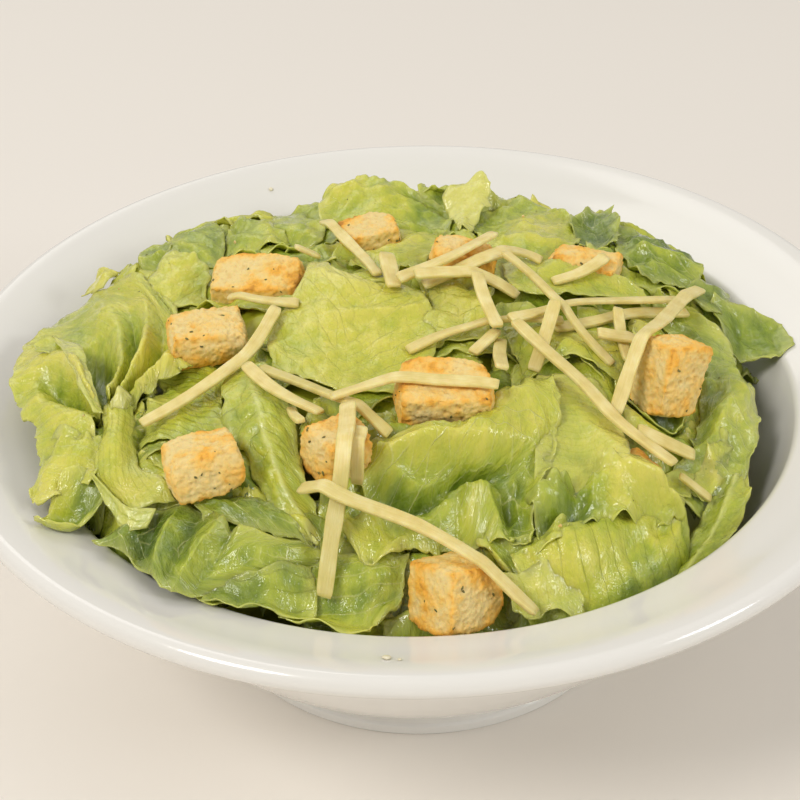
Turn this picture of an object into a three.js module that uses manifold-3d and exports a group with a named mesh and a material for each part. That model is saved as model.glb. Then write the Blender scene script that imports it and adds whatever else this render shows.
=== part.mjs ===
// Caesar salad in its wide-rimmed porcelain bowl: a heap of torn romaine leaves,
// toasted bread croutons and flat shreds of hard cheese.
// Millimetres, +Z up. The origin is on the table, at the middle of the foot ring.

import * as THREE from 'three';
import { mergeVertices } from 'three/addons/utils/BufferGeometryUtils.js';
import Module from 'manifold-3d';

const wasm = await Module();
wasm.setup();

// ---------------------------------------------------------------- driving sizes

// Bowl
const BOWL_RADIUS = 115;
const BOWL_HEIGHT = 76;
const LIP_ROUND = 2.6;
const FLANGE_THICKNESS = 4.4;
const FLANGE_MIDDLE = 9;
const FLANGE_DISH = 0.5;
const RIM_EASE = 2;
const WALL_THICKNESS = 4.6;
const WELL_RADIUS = 92.6;
const WELL_RIM_Z = 67.8;
const FLOOR_Z = 7.5;
const WELL_POWER = 4;
const FOOT_RADIUS = 55.8;
const FOOT_WIDTH = 5;
const FOOT_BAND_HEIGHT = 2.6;
const FOOT_STEP = 0.6;
const COLLAR_TOP = 6.5;
const FOOT_RECESS = 2.8;
const FOOT_CHAMFER = 0.6;
const BOWL_SEGMENTS = 48;

// Distances from the axis at which the curve of the well has a ring of points
const WELL_RINGS = [91, 87, 81, 73, 63, 50, 32];
const OUTER_RINGS = [56, 65, 74, 82, 88];

// Heap of leaves
const CROWN_Z = 86;
const CROWN_POWER = 3;
const HEAP_SPOKES = 44;
const HEAP_RINGS = 11;
const UNDER_RINGS = 3;
const LEAF_EDGE_THICKNESS = 2.4;
const LOBE_FADE_POWER = 6;
const UNDERSIDE_REACH = 0.93;
const UNDERSIDE_SINK = 1;

// How far out the heap reaches, and how high its border is, every 30 degrees from +X.
const REACH = [83.5, 91, 89, 86, 88, 95, 98, 100, 92, 85.5, 82, 82];
const BORDER_Z = [66, 73, 72, 72, 71, 73, 75, 74, 70, 60, 60, 63];

// Leaf tips make the heap's border wavy: two waves round it, each with its number of
// tips, its share of the whole and where it starts.
const TIP_WAVES = [[7, 0.6, 3.6], [13, 0.4, 4]];
const TIP_REACH = 2.5;
const TIP_RISE = 2.5;
const TIP_FADE_POWER = 8;

// Croutons and cheese
const CROUTON_SQUARENESS = 7;
const CROUTON_ROUGHNESS = 0.55;
const CROUTON_STEPS = 3;
const SHRED_THICKNESS = 1.3;
const SHRED_STEP = 3;
const SHRED_DRAPE = 0.35;
const SHRED_TWIST = 0.9;
const SHRED_SPREAD = 0.7;

// Clearance between pieces that touch
const GAP = 0.4;
const REST_GAP = 0.5;

// ---------------------------------------------------------------- finishes

const porcelain = { color: 0xe4dfd2, roughness: 0.18, metalness: 0 };
const romaine = { color: 0xb4c25a, roughness: 0.5, metalness: 0 };
const toast = { color: 0xe0b46c, roughness: 0.9, metalness: 0 };
const cheese = { color: 0xe9dfa6, roughness: 0.45, metalness: 0 };

const salad = new THREE.Group();

function addPiece(name, geometry, finish) {
  const piece = new THREE.Mesh(geometry, new THREE.MeshStandardMaterial(finish));
  piece.name = name;
  salad.add(piece);
  return piece;
}

// ---------------------------------------------------------------- bowl

// Height of the inside of the well at a distance from the axis.
function wellHeight(radius) {
  const depth = WELL_RIM_Z - FLOOR_Z;
  return FLOOR_Z + depth * Math.pow(Math.min(radius, WELL_RADIUS) / WELL_RADIUS, WELL_POWER);
}

// The flange rises in a straight slope from the well to where the lip's round starts.
const LIP_CENTRE = new THREE.Vector2(BOWL_RADIUS - LIP_ROUND, BOWL_HEIGHT - LIP_ROUND);
const LIP_START = THREE.MathUtils.degToRad(-112);
const LIP_END = THREE.MathUtils.degToRad(104);
const LIP_STEPS = 6;

function lipPoint(angle) {
  return new THREE.Vector2(
    LIP_CENTRE.x + LIP_ROUND * Math.cos(angle),
    LIP_CENTRE.y + LIP_ROUND * Math.sin(angle),
  );
}

function flangeHeight(radius) {
  const top = lipPoint(LIP_END);
  return WELL_RIM_Z + (radius - WELL_RADIUS) * (top.y - WELL_RIM_Z) / (top.x - WELL_RADIUS);
}

function bowlTop(radius) {
  return radius < WELL_RADIUS ? wellHeight(radius) : flangeHeight(radius);
}

// A point on the outside of the wall, square across from the inside.
function outerWall(radius) {
  const share = radius / WELL_RADIUS;
  const slope = WELL_POWER * (WELL_RIM_Z - FLOOR_Z) * Math.pow(share, WELL_POWER - 1) / WELL_RADIUS;
  const angle = Math.atan(slope);
  return new THREE.Vector2(
    radius + WALL_THICKNESS * Math.sin(angle),
    wellHeight(radius) - WALL_THICKNESS * Math.cos(angle),
  );
}

// The inside of the bowl, from the top of the flange down to the middle of the floor,
// stood off by a clearance, with points on the well's curve at the given distances.
function bowlInside(clearance, distances) {
  const points = [];
  const add = (r, z) => points.push(new THREE.Vector2(Math.max(0, r - clearance), z + clearance));
  add(WELL_RADIUS + FLANGE_MIDDLE, flangeHeight(WELL_RADIUS + FLANGE_MIDDLE) - FLANGE_DISH);
  add(WELL_RADIUS + RIM_EASE, flangeHeight(WELL_RADIUS + RIM_EASE));
  add(WELL_RADIUS - FLANGE_DISH, WELL_RIM_Z - FLANGE_DISH);
  distances.forEach((radius) => add(radius, wellHeight(radius)));
  add(0, FLOOR_Z);
  return points;
}

function bowlProfile() {
  const points = [];
  const add = (r, z) => points.push(new THREE.Vector2(r, z));
  const footInner = FOOT_RADIUS - FOOT_WIDTH;
  const shoulder = FOOT_RADIUS - FOOT_STEP;

  // Underside: the recess, the foot band and the collar above it.
  add(0, FOOT_RECESS);
  add(footInner - FOOT_CHAMFER, FOOT_RECESS);
  add(footInner, 0);
  add(FOOT_RADIUS - FOOT_CHAMFER, 0);
  add(FOOT_RADIUS, FOOT_CHAMFER);
  add(FOOT_RADIUS, FOOT_BAND_HEIGHT);
  add(shoulder, FOOT_BAND_HEIGHT + FOOT_STEP);
  add(shoulder, COLLAR_TOP);

  // Outside of the wall, up to the underside of the flange.
  OUTER_RINGS.forEach((radius) => points.push(outerWall(radius)));
  const turnOut = WELL_RADIUS + FLANGE_THICKNESS + RIM_EASE;
  add(turnOut, flangeHeight(turnOut) - FLANGE_THICKNESS - RIM_EASE);

  // Rounded lip, from the underside over to the top.
  for (let i = 0; i <= LIP_STEPS; i++) {
    points.push(lipPoint(THREE.MathUtils.lerp(LIP_START, LIP_END, i / LIP_STEPS)));
  }

  return points.concat(bowlInside(0, WELL_RINGS));
}

function turned(profile, segments) {
  const geometry = new THREE.LatheGeometry(profile, segments);
  geometry.rotateX(Math.PI / 2);
  return geometry;
}

// The room over the inside of the bowl that the leaves may fill. It is turned with
// fewer sides, whose flats lie just inside the bowl's own.
function roomAboveBowl() {
  const everyOther = WELL_RINGS.filter((_, i) => i % 2 === 0);
  const inside = bowlInside(GAP, everyOther);
  const above = [new THREE.Vector2(0, 2 * BOWL_HEIGHT), new THREE.Vector2(inside[0].x, 2 * BOWL_HEIGHT)];
  return turned(above.concat(inside).reverse(), BOWL_SEGMENTS / 2);
}

// ---------------------------------------------------------------- heap of leaves

// Each lobe is one leaf that stands proud of the heap: where it lies, which way it
// runs, how long and wide it is, and how much it rises.
const LOBES = [
  { x: -20, y: 8, turn: 10, long: 24, wide: 18, rise: 5 },
  { x: -80, y: 22, turn: 60, long: 26, wide: 14, rise: 5 },
  { x: -18, y: 73, turn: 0, long: 26, wide: 11, rise: 10 },
  { x: -56, y: 54, turn: 30, long: 16, wide: 12, rise: 7 },
  { x: 32, y: 68, turn: -10, long: 24, wide: 11, rise: 8 },
  { x: 70, y: 44, turn: -50, long: 32, wide: 10, rise: 9 },
  { x: 76, y: -18, turn: 80, long: 26, wide: 9, rise: 5 },
  { x: 38, y: -68, turn: 10, long: 22, wide: 10, rise: 6 },
  { x: 8, y: -46, turn: 0, long: 28, wide: 13, rise: 5 },
  { x: -14, y: -80, turn: 0, long: 22, wide: 8, rise: 2 },
  { x: -50, y: -62, turn: -25, long: 26, wide: 10, rise: 4 },
  { x: -80, y: -30, turn: -60, long: 20, wide: 12, rise: 4 },
  { x: -34, y: -36, turn: 80, long: 20, wide: 9, rise: 3 },
  { x: 20, y: 10, turn: 0, long: 30, wide: 24, rise: 3 },
];

// Smooth value at an angle, from values given at even steps round the circle.
function aroundCircle(values, angle) {
  const count = values.length;
  const place = THREE.MathUtils.euclideanModulo(angle / (2 * Math.PI) * count, count);
  const i = Math.floor(place);
  const f = place - i;
  const a = values[(i + count - 1) % count];
  const b = values[i % count];
  const c = values[(i + 1) % count];
  const d = values[(i + 2) % count];
  return b + 0.5 * f * (c - a + f * (2 * a - 5 * b + 4 * c - d + f * (3 * (b - c) + d - a)));
}

function lobeRise(lobe, x, y) {
  const turn = THREE.MathUtils.degToRad(lobe.turn);
  const along = (x - lobe.x) * Math.cos(turn) + (y - lobe.y) * Math.sin(turn);
  const across = (y - lobe.y) * Math.cos(turn) - (x - lobe.x) * Math.sin(turn);
  return lobe.rise * Math.exp(-Math.pow(along / lobe.long, 2) - Math.pow(across / lobe.wide, 2));
}

function leafTips(angle) {
  return TIP_WAVES.reduce((sum, [count, part, start]) => sum + part * Math.sin(count * angle + start), 0);
}

function heapReach(angle) {
  return aroundCircle(REACH, angle) + TIP_REACH * leafTips(angle);
}

function heapHeight(x, y) {
  const angle = Math.atan2(y, x);
  const border = aroundCircle(BORDER_Z, angle);
  const share = Math.min(Math.hypot(x, y) / heapReach(angle), 1);
  const tips = TIP_RISE * leafTips(angle) * Math.pow(share, TIP_FADE_POWER);
  const mound = border + (CROWN_Z - border) * (1 - Math.pow(share, CROWN_POWER)) + tips;
  const fade = 1 - Math.pow(share, LOBE_FADE_POWER);
  return LOBES.reduce((height, lobe) => height + fade * lobeRise(lobe, x, y), mound);
}

// One closed solid: rings of points over the top, then rings back underneath, which
// follow the well and the flange with a small clearance.
function heapGeometry() {
  const positions = [];
  const addRing = (share, heightAt) => {
    for (let i = 0; i < HEAP_SPOKES; i++) {
      const angle = 2 * Math.PI * i / HEAP_SPOKES;
      const radius = share * heapReach(angle);
      const x = radius * Math.cos(angle);
      const y = radius * Math.sin(angle);
      positions.push(x, y, heightAt(x, y));
    }
  };
  for (let ring = 1; ring <= HEAP_RINGS; ring++) {
    addRing(ring / HEAP_RINGS, heapHeight);
  }
  addRing(1, (x, y) => heapHeight(x, y) - LEAF_EDGE_THICKNESS);
  for (let ring = UNDER_RINGS; ring >= 1; ring--) {
    addRing(UNDERSIDE_REACH * ring / UNDER_RINGS, (x, y) => bowlTop(Math.hypot(x, y)) - UNDERSIDE_SINK);
  }
  const ringCount = positions.length / 3 / HEAP_SPOKES;
  const topPoint = positions.length / 3;
  positions.push(0, 0, heapHeight(0, 0));
  const bottomPoint = topPoint + 1;
  positions.push(0, 0, FLOOR_Z - UNDERSIDE_SINK);

  const faces = [];
  for (let i = 0; i < HEAP_SPOKES; i++) {
    const next = (i + 1) % HEAP_SPOKES;
    faces.push(topPoint, i, next);
    for (let ring = 0; ring < ringCount - 1; ring++) {
      const a = ring * HEAP_SPOKES;
      const b = a + HEAP_SPOKES;
      faces.push(a + i, b + i, b + next, a + i, b + next, a + next);
    }
    const last = (ringCount - 1) * HEAP_SPOKES;
    faces.push(bottomPoint, last + next, last + i);
  }
  const geometry = new THREE.BufferGeometry();
  geometry.setAttribute('position', new THREE.Float32BufferAttribute(positions, 3));
  geometry.setIndex(faces);
  return geometry;
}

// ---------------------------------------------------------------- croutons

// Cubes of bread cut from a loaf: where each one's middle is, how far that stands
// above the leaves, its size, its turn about the vertical and how it then leans.
const CROUTONS = [
  { name: 'crouton_back_left', x: -39.5, y: 15, stand: 0, size: [24, 14, 9], turn: -3, lean: [14, 0] },
  { name: 'crouton_left', x: -49.5, y: -10.5, stand: 2.5, size: [19, 14, 10], turn: 14, lean: [2, 4] },
  { name: 'crouton_front_left', x: -46, y: -57.5, stand: 3, size: [16, 13, 11], turn: 18, lean: [-10, -8] },
  { name: 'crouton_back', x: -11.5, y: 38.5, stand: 1, size: [15, 12, 9], turn: 14, lean: [2, -6] },
  { name: 'crouton_middle', x: 12, y: 18, stand: 1, size: [16, 11, 10], turn: -12, lean: [4, 4] },
  { name: 'crouton_back_right', x: 43.5, y: 22.5, stand: 0, size: [18, 11, 9], turn: -18, lean: [4, 6] },
  { name: 'crouton_centre', x: 6, y: -38, stand: 1.5, size: [22, 15, 12.5], turn: 4, lean: [10, 4] },
  { name: 'crouton_tilted', x: -17.5, y: -53, stand: 2.5, size: [12, 12, 12], turn: 36, lean: [0, 6] },
  { name: 'crouton_front', x: 7, y: -79.5, stand: 5, size: [15.5, 15.5, 14.5], turn: 42, lean: [-26, 3] },
  { name: 'crouton_right', x: 59, y: -22.5, stand: 6, size: [13.5, 13, 18.5], turn: 30, lean: [-18, 10] },
  { name: 'crouton_tucked', x: 48, y: -46.5, stand: -1, size: [11, 11, 10], turn: 30, lean: [0, 0] },
];

// A repeatable uneven value between -1 and 1 for a place on a crumb surface: the
// fraction left over from a very steep wave.
const WAVE_RATES = [12.9898, 78.233, 37.719, 4.581];
const WAVE_HEIGHT = 43758.5453;

function unevenness(x, y, z, seed) {
  const turns = [x, y, z, seed].reduce((sum, value, i) => sum + value * WAVE_RATES[i], 0);
  const wave = Math.sin(turns) * WAVE_HEIGHT;
  return 2 * (wave - Math.floor(wave)) - 1;
}

// A cube with worn corners and a crumbly skin. Grown by a margin, it is the hollow
// that the crouton presses into the leaves.
function croutonGeometry(crouton, seed, margin) {
  const geometry = new THREE.BoxGeometry(2, 2, 2, CROUTON_STEPS, CROUTON_STEPS, CROUTON_STEPS);
  const places = geometry.getAttribute('position');
  const half = crouton.size.map((length) => length / 2 + margin);
  for (let i = 0; i < places.count; i++) {
    const p = [places.getX(i), places.getY(i), places.getZ(i)];
    const power = p.reduce((sum, v) => sum + Math.pow(Math.abs(v), CROUTON_SQUARENESS), 0);
    const rounding = 1 / Math.pow(power, 1 / CROUTON_SQUARENESS);
    const rough = CROUTON_ROUGHNESS * unevenness(...p.map(Math.round), seed);
    const [x, y, z] = p.map((v, axis) => v * rounding * (half[axis] + rough));
    places.setXYZ(i, x, y, z);
  }
  return geometry;
}

function placeCrouton(piece, crouton) {
  const [leanX, leanY] = crouton.lean.map(THREE.MathUtils.degToRad);
  piece.rotation.set(leanX, leanY, THREE.MathUtils.degToRad(crouton.turn), 'XYZ');
  piece.position.set(crouton.x, crouton.y, heapHeight(crouton.x, crouton.y) + crouton.stand);
  piece.updateMatrixWorld(true);
}

// ---------------------------------------------------------------- joining and cutting

// Corners closer than this are one corner, and a triangle under this area is on edge.
const WELD = 1e-4;
const SLIVER = 1e-6;

function toSolid(geometry) {
  const bare = geometry.clone();
  bare.deleteAttribute('normal');
  bare.deleteAttribute('uv');
  const merged = mergeVertices(bare, WELD);
  return new wasm.Manifold(new wasm.Mesh({
    numProp: 3,
    vertProperties: Float32Array.from(merged.getAttribute('position').array),
    triVerts: Uint32Array.from(merged.getIndex().array),
  }));
}

function toGeometry(solid) {
  const mesh = solid.getMesh();
  const geometry = new THREE.BufferGeometry();
  geometry.setAttribute('position', new THREE.BufferAttribute(mesh.vertProperties, 3));
  geometry.setIndex(new THREE.BufferAttribute(mesh.triVerts, 1));
  return geometry;
}

// ---------------------------------------------------------------- what lies on what

// A map of the height of everything laid so far, seen from above in small squares.
const MAP_CELL = 0.5;
const MAP_REACH = BOWL_RADIUS;
const MAP_SIDE = Math.ceil(2 * MAP_REACH / MAP_CELL);
const restingHeights = new Float32Array(MAP_SIDE * MAP_SIDE).fill(0);

const toCell = (v) => Math.round((v + MAP_REACH) / MAP_CELL);
const toPlace = (cell) => cell * MAP_CELL - MAP_REACH;

function raiseTriangle(a, b, c) {
  const area = (b.x - a.x) * (c.y - a.y) - (c.x - a.x) * (b.y - a.y);
  if (area < SLIVER) return;
  const lowX = toCell(Math.min(a.x, b.x, c.x));
  const highX = toCell(Math.max(a.x, b.x, c.x));
  const lowY = toCell(Math.min(a.y, b.y, c.y));
  const highY = toCell(Math.max(a.y, b.y, c.y));
  for (let row = lowY; row <= highY; row++) {
    for (let column = lowX; column <= highX; column++) {
      const x = toPlace(column);
      const y = toPlace(row);
      const v = ((x - a.x) * (c.y - a.y) - (c.x - a.x) * (y - a.y)) / area;
      const w = ((b.x - a.x) * (y - a.y) - (x - a.x) * (b.y - a.y)) / area;
      if (v < 0 || w < 0 || v + w > 1) continue;
      const height = a.z + v * (b.z - a.z) + w * (c.z - a.z);
      const cell = row * MAP_SIDE + column;
      restingHeights[cell] = Math.max(restingHeights[cell], height);
    }
  }
}

function raiseMap(piece) {
  piece.updateMatrixWorld(true);
  const flat = piece.geometry.index ? piece.geometry.toNonIndexed() : piece.geometry;
  const places = flat.getAttribute('position');
  const corner = (i) => new THREE.Vector3().fromBufferAttribute(places, i).applyMatrix4(piece.matrixWorld);
  for (let i = 0; i < places.count; i += 3) {
    raiseTriangle(corner(i), corner(i + 1), corner(i + 2));
  }
}

// The highest thing within a small distance of a place.
function restHeight(x, y, around) {
  const reach = Math.ceil(around / MAP_CELL);
  let highest = 0;
  for (let row = toCell(y) - reach; row <= toCell(y) + reach; row++) {
    for (let column = toCell(x) - reach; column <= toCell(x) + reach; column++) {
      if (Math.hypot(toPlace(column) - x, toPlace(row) - y) <= around) {
        highest = Math.max(highest, restingHeights[row * MAP_SIDE + column]);
      }
    }
  }
  return highest;
}

// ---------------------------------------------------------------- cheese shreds

// Flat strips of grated hard cheese, in the order in which they fell. Each path is
// the strip's middle line seen from above, and it rests on whatever is below it.
const SHREDS = [
  { name: 'shred_behind_leaf', width: 3.4, path: [[-30, 23], [-24, 24]] },
  { name: 'shred_back_lean', width: 2.6, path: [[-24, 45], [-19, 33], [-12, 17], [-9, 9]] },
  { name: 'shred_back_stub', width: 4, path: [[-7, 16], [-5, 3]] },
  { name: 'shred_arc', width: 3.4, path: [[2, 6], [8, 8], [14, 10], [20, 14], [25, 19], [28, 22], [32, 21]] },
  { name: 'shred_back_long', width: 3.4, path: [[-4, 4], [4, 8], [12, 13], [20, 21]] },
  { name: 'shred_back_level', width: 3.2, path: [[0, 2], [8, 4], [16, 5], [21, 5], [25, 3]] },
  { name: 'shred_back_right', width: 3.2, path: [[34, 11], [41, 13], [48, 19]] },
  { name: 'shred_left_short', width: 3.2, path: [[-45, 1], [-36, -1], [-28, -1]] },
  { name: 'shred_left_long', width: 3, path: [[-62, -39], [-53, -33], [-45, -26], [-39, -20], [-33, -5]] },
  { name: 'shred_thin_left', width: 2.2, path: [[-28, -40], [-27, -46], [-25, -51]] },
  { name: 'shred_upright', width: 3, path: [[20, -14], [19, -25], [19, -37]] },
  { name: 'shred_slant_short', width: 3, path: [[19, -14], [16, -19], [13, -23]] },
  { name: 'shred_right_band', width: 3, path: [[33, -9], [42, -4], [53, 4], [68, 11]] },
  { name: 'shred_right_short', width: 2.6, path: [[49, 0], [49, -9], [50, -16]] },
  { name: 'shred_middle_left', width: 3, path: [[-2, -18], [6, -14], [16, -12], [25, -9], [35, -8]] },
  { name: 'shred_right_arc', width: 2.8, path: [[22, -13], [30, -8], [39, 0], [48, 4], [66, 12]] },
  { name: 'shred_back_steep', width: 3.2, path: [[15, 2], [16, -6], [19, -17]] },
  { name: 'shred_right_level', width: 3.4, path: [[43, -11], [51, -11], [58, -9]] },
  { name: 'shred_back_slant', width: 2.4, path: [[22, 12], [28, 4], [33, -5], [39, -13], [46, -18]] },
  { name: 'shred_right_drop', width: 3.2, path: [[33, -9], [30, -17], [27, -24]] },
  { name: 'shred_right_wedge', width: 3.4, path: [[50, -37], [56, -38], [63, -39]] },
  { name: 'shred_right_wisp', width: 1.8, path: [[59, -45], [66, -47]] },
  { name: 'shred_right_steep', width: 3.4, path: [[73, 22], [65, 6], [58, -10], [51, -22], [45, -34]] },
  {
    name: 'shred_right_long',
    width: 3.4,
    path: [[23, -16], [30, -23], [38, -30], [44, -38], [50, -43], [57, -48]],
  },
  { name: 'shred_centre_under', width: 3, path: [[-36, -25], [-27, -32], [-19, -39], [-11, -45], [-6, -49]] },
  { name: 'shred_centre_left', width: 3, path: [[-39, -26], [-33, -35], [-27, -41], [-21, -46]] },
  {
    name: 'shred_centre_arc',
    width: 3,
    path: [[-19, -42], [-12, -41], [-5, -40], [5, -41], [13, -41], [18, -42]],
  },
  { name: 'shred_front_stub', width: 3, path: [[-12, -54], [-13, -62]] },
  {
    name: 'shred_front_wide',
    width: 3.6,
    path: [[-15, -46], [-15, -57], [-16, -65], [-18, -72], [-20, -82]],
  },
  {
    name: 'shred_front_long',
    width: 3.2,
    path: [[-25, -64], [-17, -69], [-8, -71], [0, -73], [8, -77], [16, -82], [24, -85]],
  },
];

// The lowest line over a row of heights that never sags between its supports.
function bridge(heights) {
  const kept = [];
  heights.forEach((height, i) => {
    while (kept.length > 1) {
      const [j, high] = kept[kept.length - 1];
      const [k, low] = kept[kept.length - 2];
      if ((high - low) * (i - k) >= (height - low) * (j - k)) break;
      kept.pop();
    }
    kept.push([i, height]);
  });
  return heights.map((_, i) => {
    const after = Math.max(1, kept.findIndex(([place]) => place >= i));
    const [j, left] = kept[after - 1];
    const [k, right] = kept[Math.min(after, kept.length - 1)];
    return k === j ? left : left + (right - left) * (i - j) / (k - j);
  });
}

// The strip bridges between what holds it up, and gives a little in between.
function drape(supports) {
  const stiff = bridge(supports);
  return supports.map((height, i) => stiff[i] + SHRED_DRAPE * (height - stiff[i]));
}

function shredGeometry(shred) {
  const bends = shred.path.map(([x, y]) => new THREE.Vector3(x, y, 0));
  const curve = new THREE.CatmullRomCurve3(bends, false, 'centripetal');
  const steps = Math.max(3, Math.ceil(curve.getLength() / SHRED_STEP));
  const half = shred.width / 2;
  const around = SHRED_STEP / 2 + SHRED_SPREAD;
  const middle = curve.getSpacedPoints(steps);
  const sideways = middle.map((_, i) => {
    const tangent = curve.getTangentAt(i / steps);
    return new THREE.Vector3(-tangent.y, tangent.x, 0);
  });
  const edge = (side) => middle.map((point, i) => point.clone().addScaledVector(sideways[i], side * half));
  const restOf = (points) => points.map((point) => restHeight(point.x, point.y, around) + REST_GAP);
  const leftEdge = edge(1);
  const rightEdge = edge(-1);
  const leftZ = drape(restOf(leftEdge));
  const rightZ = drape(restOf(rightEdge));
  const middleZ = drape(restOf(middle));

  const positions = [];
  for (let i = 0; i <= steps; i++) {
    const leftLow = Math.max(leftZ[i], rightZ[i] - SHRED_TWIST);
    const rightLow = Math.max(rightZ[i], leftZ[i] - SHRED_TWIST);
    const lift = Math.max(0, middleZ[i] - (leftLow + rightLow) / 2);
    const left = leftEdge[i];
    const right = rightEdge[i];
    positions.push(left.x, left.y, leftLow + lift);
    positions.push(right.x, right.y, rightLow + lift);
    positions.push(right.x, right.y, rightLow + lift + SHRED_THICKNESS);
    positions.push(left.x, left.y, leftLow + lift + SHRED_THICKNESS);
  }
  const faces = [0, 1, 2, 0, 2, 3];
  for (let i = 0; i < steps; i++) {
    for (let side = 0; side < 4; side++) {
      const a = 4 * i + side;
      const b = 4 * i + (side + 1) % 4;
      faces.push(a, a + 4, b + 4, a, b + 4, b);
    }
  }
  const end = 4 * steps;
  faces.push(end, end + 2, end + 1, end, end + 3, end + 2);
  const geometry = new THREE.BufferGeometry();
  geometry.setAttribute('position', new THREE.Float32BufferAttribute(positions, 3));
  geometry.setIndex(faces);
  return geometry;
}

// ---------------------------------------------------------------- putting it together

const bowl = addPiece('bowl', turned(bowlProfile(), BOWL_SEGMENTS), porcelain);

let leaves = toSolid(heapGeometry()).intersect(toSolid(roomAboveBowl()));
const croutons = CROUTONS.map((crouton, seed) => {
  const piece = addPiece(crouton.name, croutonGeometry(crouton, seed, 0), toast);
  placeCrouton(piece, crouton);
  const hollow = croutonGeometry(crouton, seed, GAP).applyMatrix4(piece.matrixWorld);
  leaves = leaves.subtract(toSolid(hollow));
  return piece;
});
const heap = addPiece('lettuce', toGeometry(leaves), romaine);

[bowl, heap, ...croutons].forEach(raiseMap);
SHREDS.forEach((shred) => {
  raiseMap(addPiece(shred.name, shredGeometry(shred), cheese));
});

export default salad;
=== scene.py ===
"""A caesar salad in its wide-rimmed porcelain bowl: torn lettuce, croutons and shreds of hard cheese."""

import itertools
import math

import bmesh
import bpy
import numpy as np
from mathutils import Matrix, Vector
from mathutils.bvhtree import BVHTree


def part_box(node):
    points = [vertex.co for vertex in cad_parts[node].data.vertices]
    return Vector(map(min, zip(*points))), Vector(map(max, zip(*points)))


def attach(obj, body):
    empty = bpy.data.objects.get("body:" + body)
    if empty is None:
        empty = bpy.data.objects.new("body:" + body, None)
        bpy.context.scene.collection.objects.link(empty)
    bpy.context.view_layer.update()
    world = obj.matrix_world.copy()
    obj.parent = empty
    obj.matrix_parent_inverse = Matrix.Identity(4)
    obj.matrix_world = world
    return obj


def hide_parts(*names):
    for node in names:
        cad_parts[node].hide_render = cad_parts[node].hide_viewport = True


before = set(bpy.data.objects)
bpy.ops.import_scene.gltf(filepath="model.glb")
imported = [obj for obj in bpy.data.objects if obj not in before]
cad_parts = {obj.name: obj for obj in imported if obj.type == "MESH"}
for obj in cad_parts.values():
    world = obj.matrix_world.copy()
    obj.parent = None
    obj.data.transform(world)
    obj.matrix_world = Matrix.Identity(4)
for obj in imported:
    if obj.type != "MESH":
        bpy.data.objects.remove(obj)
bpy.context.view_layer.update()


# ------------------------------------------------------------------ bowl
# A wide-rimmed bowl of white porcelain, pressed in one piece with its foot ring, and covered
# in a clear glossy glaze that lies a little unevenly.

MM = 0.001
BOWL_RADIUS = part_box("bowl")[1].x / MM
BOWL_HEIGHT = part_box("bowl")[1].z / MM
LIP_ROUND = 2.6
WELL_RADIUS = 92.6
WELL_RIM_Z = 67.8
WELL_FLOOR_Z = 7.5
WELL_POWER = 4
WELL_CUTS = np.linspace(91, 4, 44)
WALL_THICKNESS = 4.6
WALL_CUTS = np.linspace(57, 88, 20)
FLANGE_THICKNESS = 4.4
FLANGE_DIP = 0.5
FLANGE_DIP_WIDTH = 9
TURN_OUT_WIDTH = 2
TURN_OUT_DROP = 1.6
LIP_ARC = np.linspace(math.radians(-100), math.radians(96), 14)
FOOT_RADIUS = 55.8
FOOT_WIDTH = 5
FOOT_BAND_HEIGHT = 2.6
FOOT_STEP = 0.6
COLLAR_TOP = 6.5
FOOT_RECESS = 2.8
FOOT_SLOPE = 2
BOWL_TURNS = 192
CORNER_STEPS = 5


def well_height(radius):
    depth = WELL_RIM_Z - WELL_FLOOR_Z
    return WELL_FLOOR_Z + depth * np.power(np.minimum(radius, WELL_RADIUS) / WELL_RADIUS, WELL_POWER)


def flange_height(radius):
    lip_top = BOWL_RADIUS - LIP_ROUND
    return WELL_RIM_Z + (radius - WELL_RADIUS) * (BOWL_HEIGHT - WELL_RIM_Z) / (lip_top - WELL_RADIUS)


def bowl_top(radius):
    return np.where(radius < WELL_RADIUS, well_height(radius), flange_height(radius))


def outer_wall(radius):
    """A point on the outside of the wall, square across from the inside."""
    share = radius / WELL_RADIUS
    slope = WELL_POWER * (WELL_RIM_Z - WELL_FLOOR_Z) * share ** (WELL_POWER - 1) / WELL_RADIUS
    angle = math.atan(slope)
    height = float(well_height(radius))
    return radius + WALL_THICKNESS * math.sin(angle), height - WALL_THICKNESS * math.cos(angle)


def rounded(corners):
    """A profile whose corners are cut back by the length given with each and turned in a soft bend."""
    places = [Vector(corner[:2]) for corner in corners]
    profile = [tuple(places[0])]
    for before, here, after, corner in zip(places, places[1:], places[2:], corners[1:]):
        cut = corner[2]
        if cut == 0:
            profile.append(tuple(here))
            continue
        start = here + (before - here).normalized() * cut
        end = here + (after - here).normalized() * cut
        for step in range(CORNER_STEPS + 1):
            f = step / CORNER_STEPS
            profile.append(tuple(start.lerp(here, f).lerp(here.lerp(end, f), f)))
    profile.append(tuple(places[-1]))
    return profile


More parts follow.
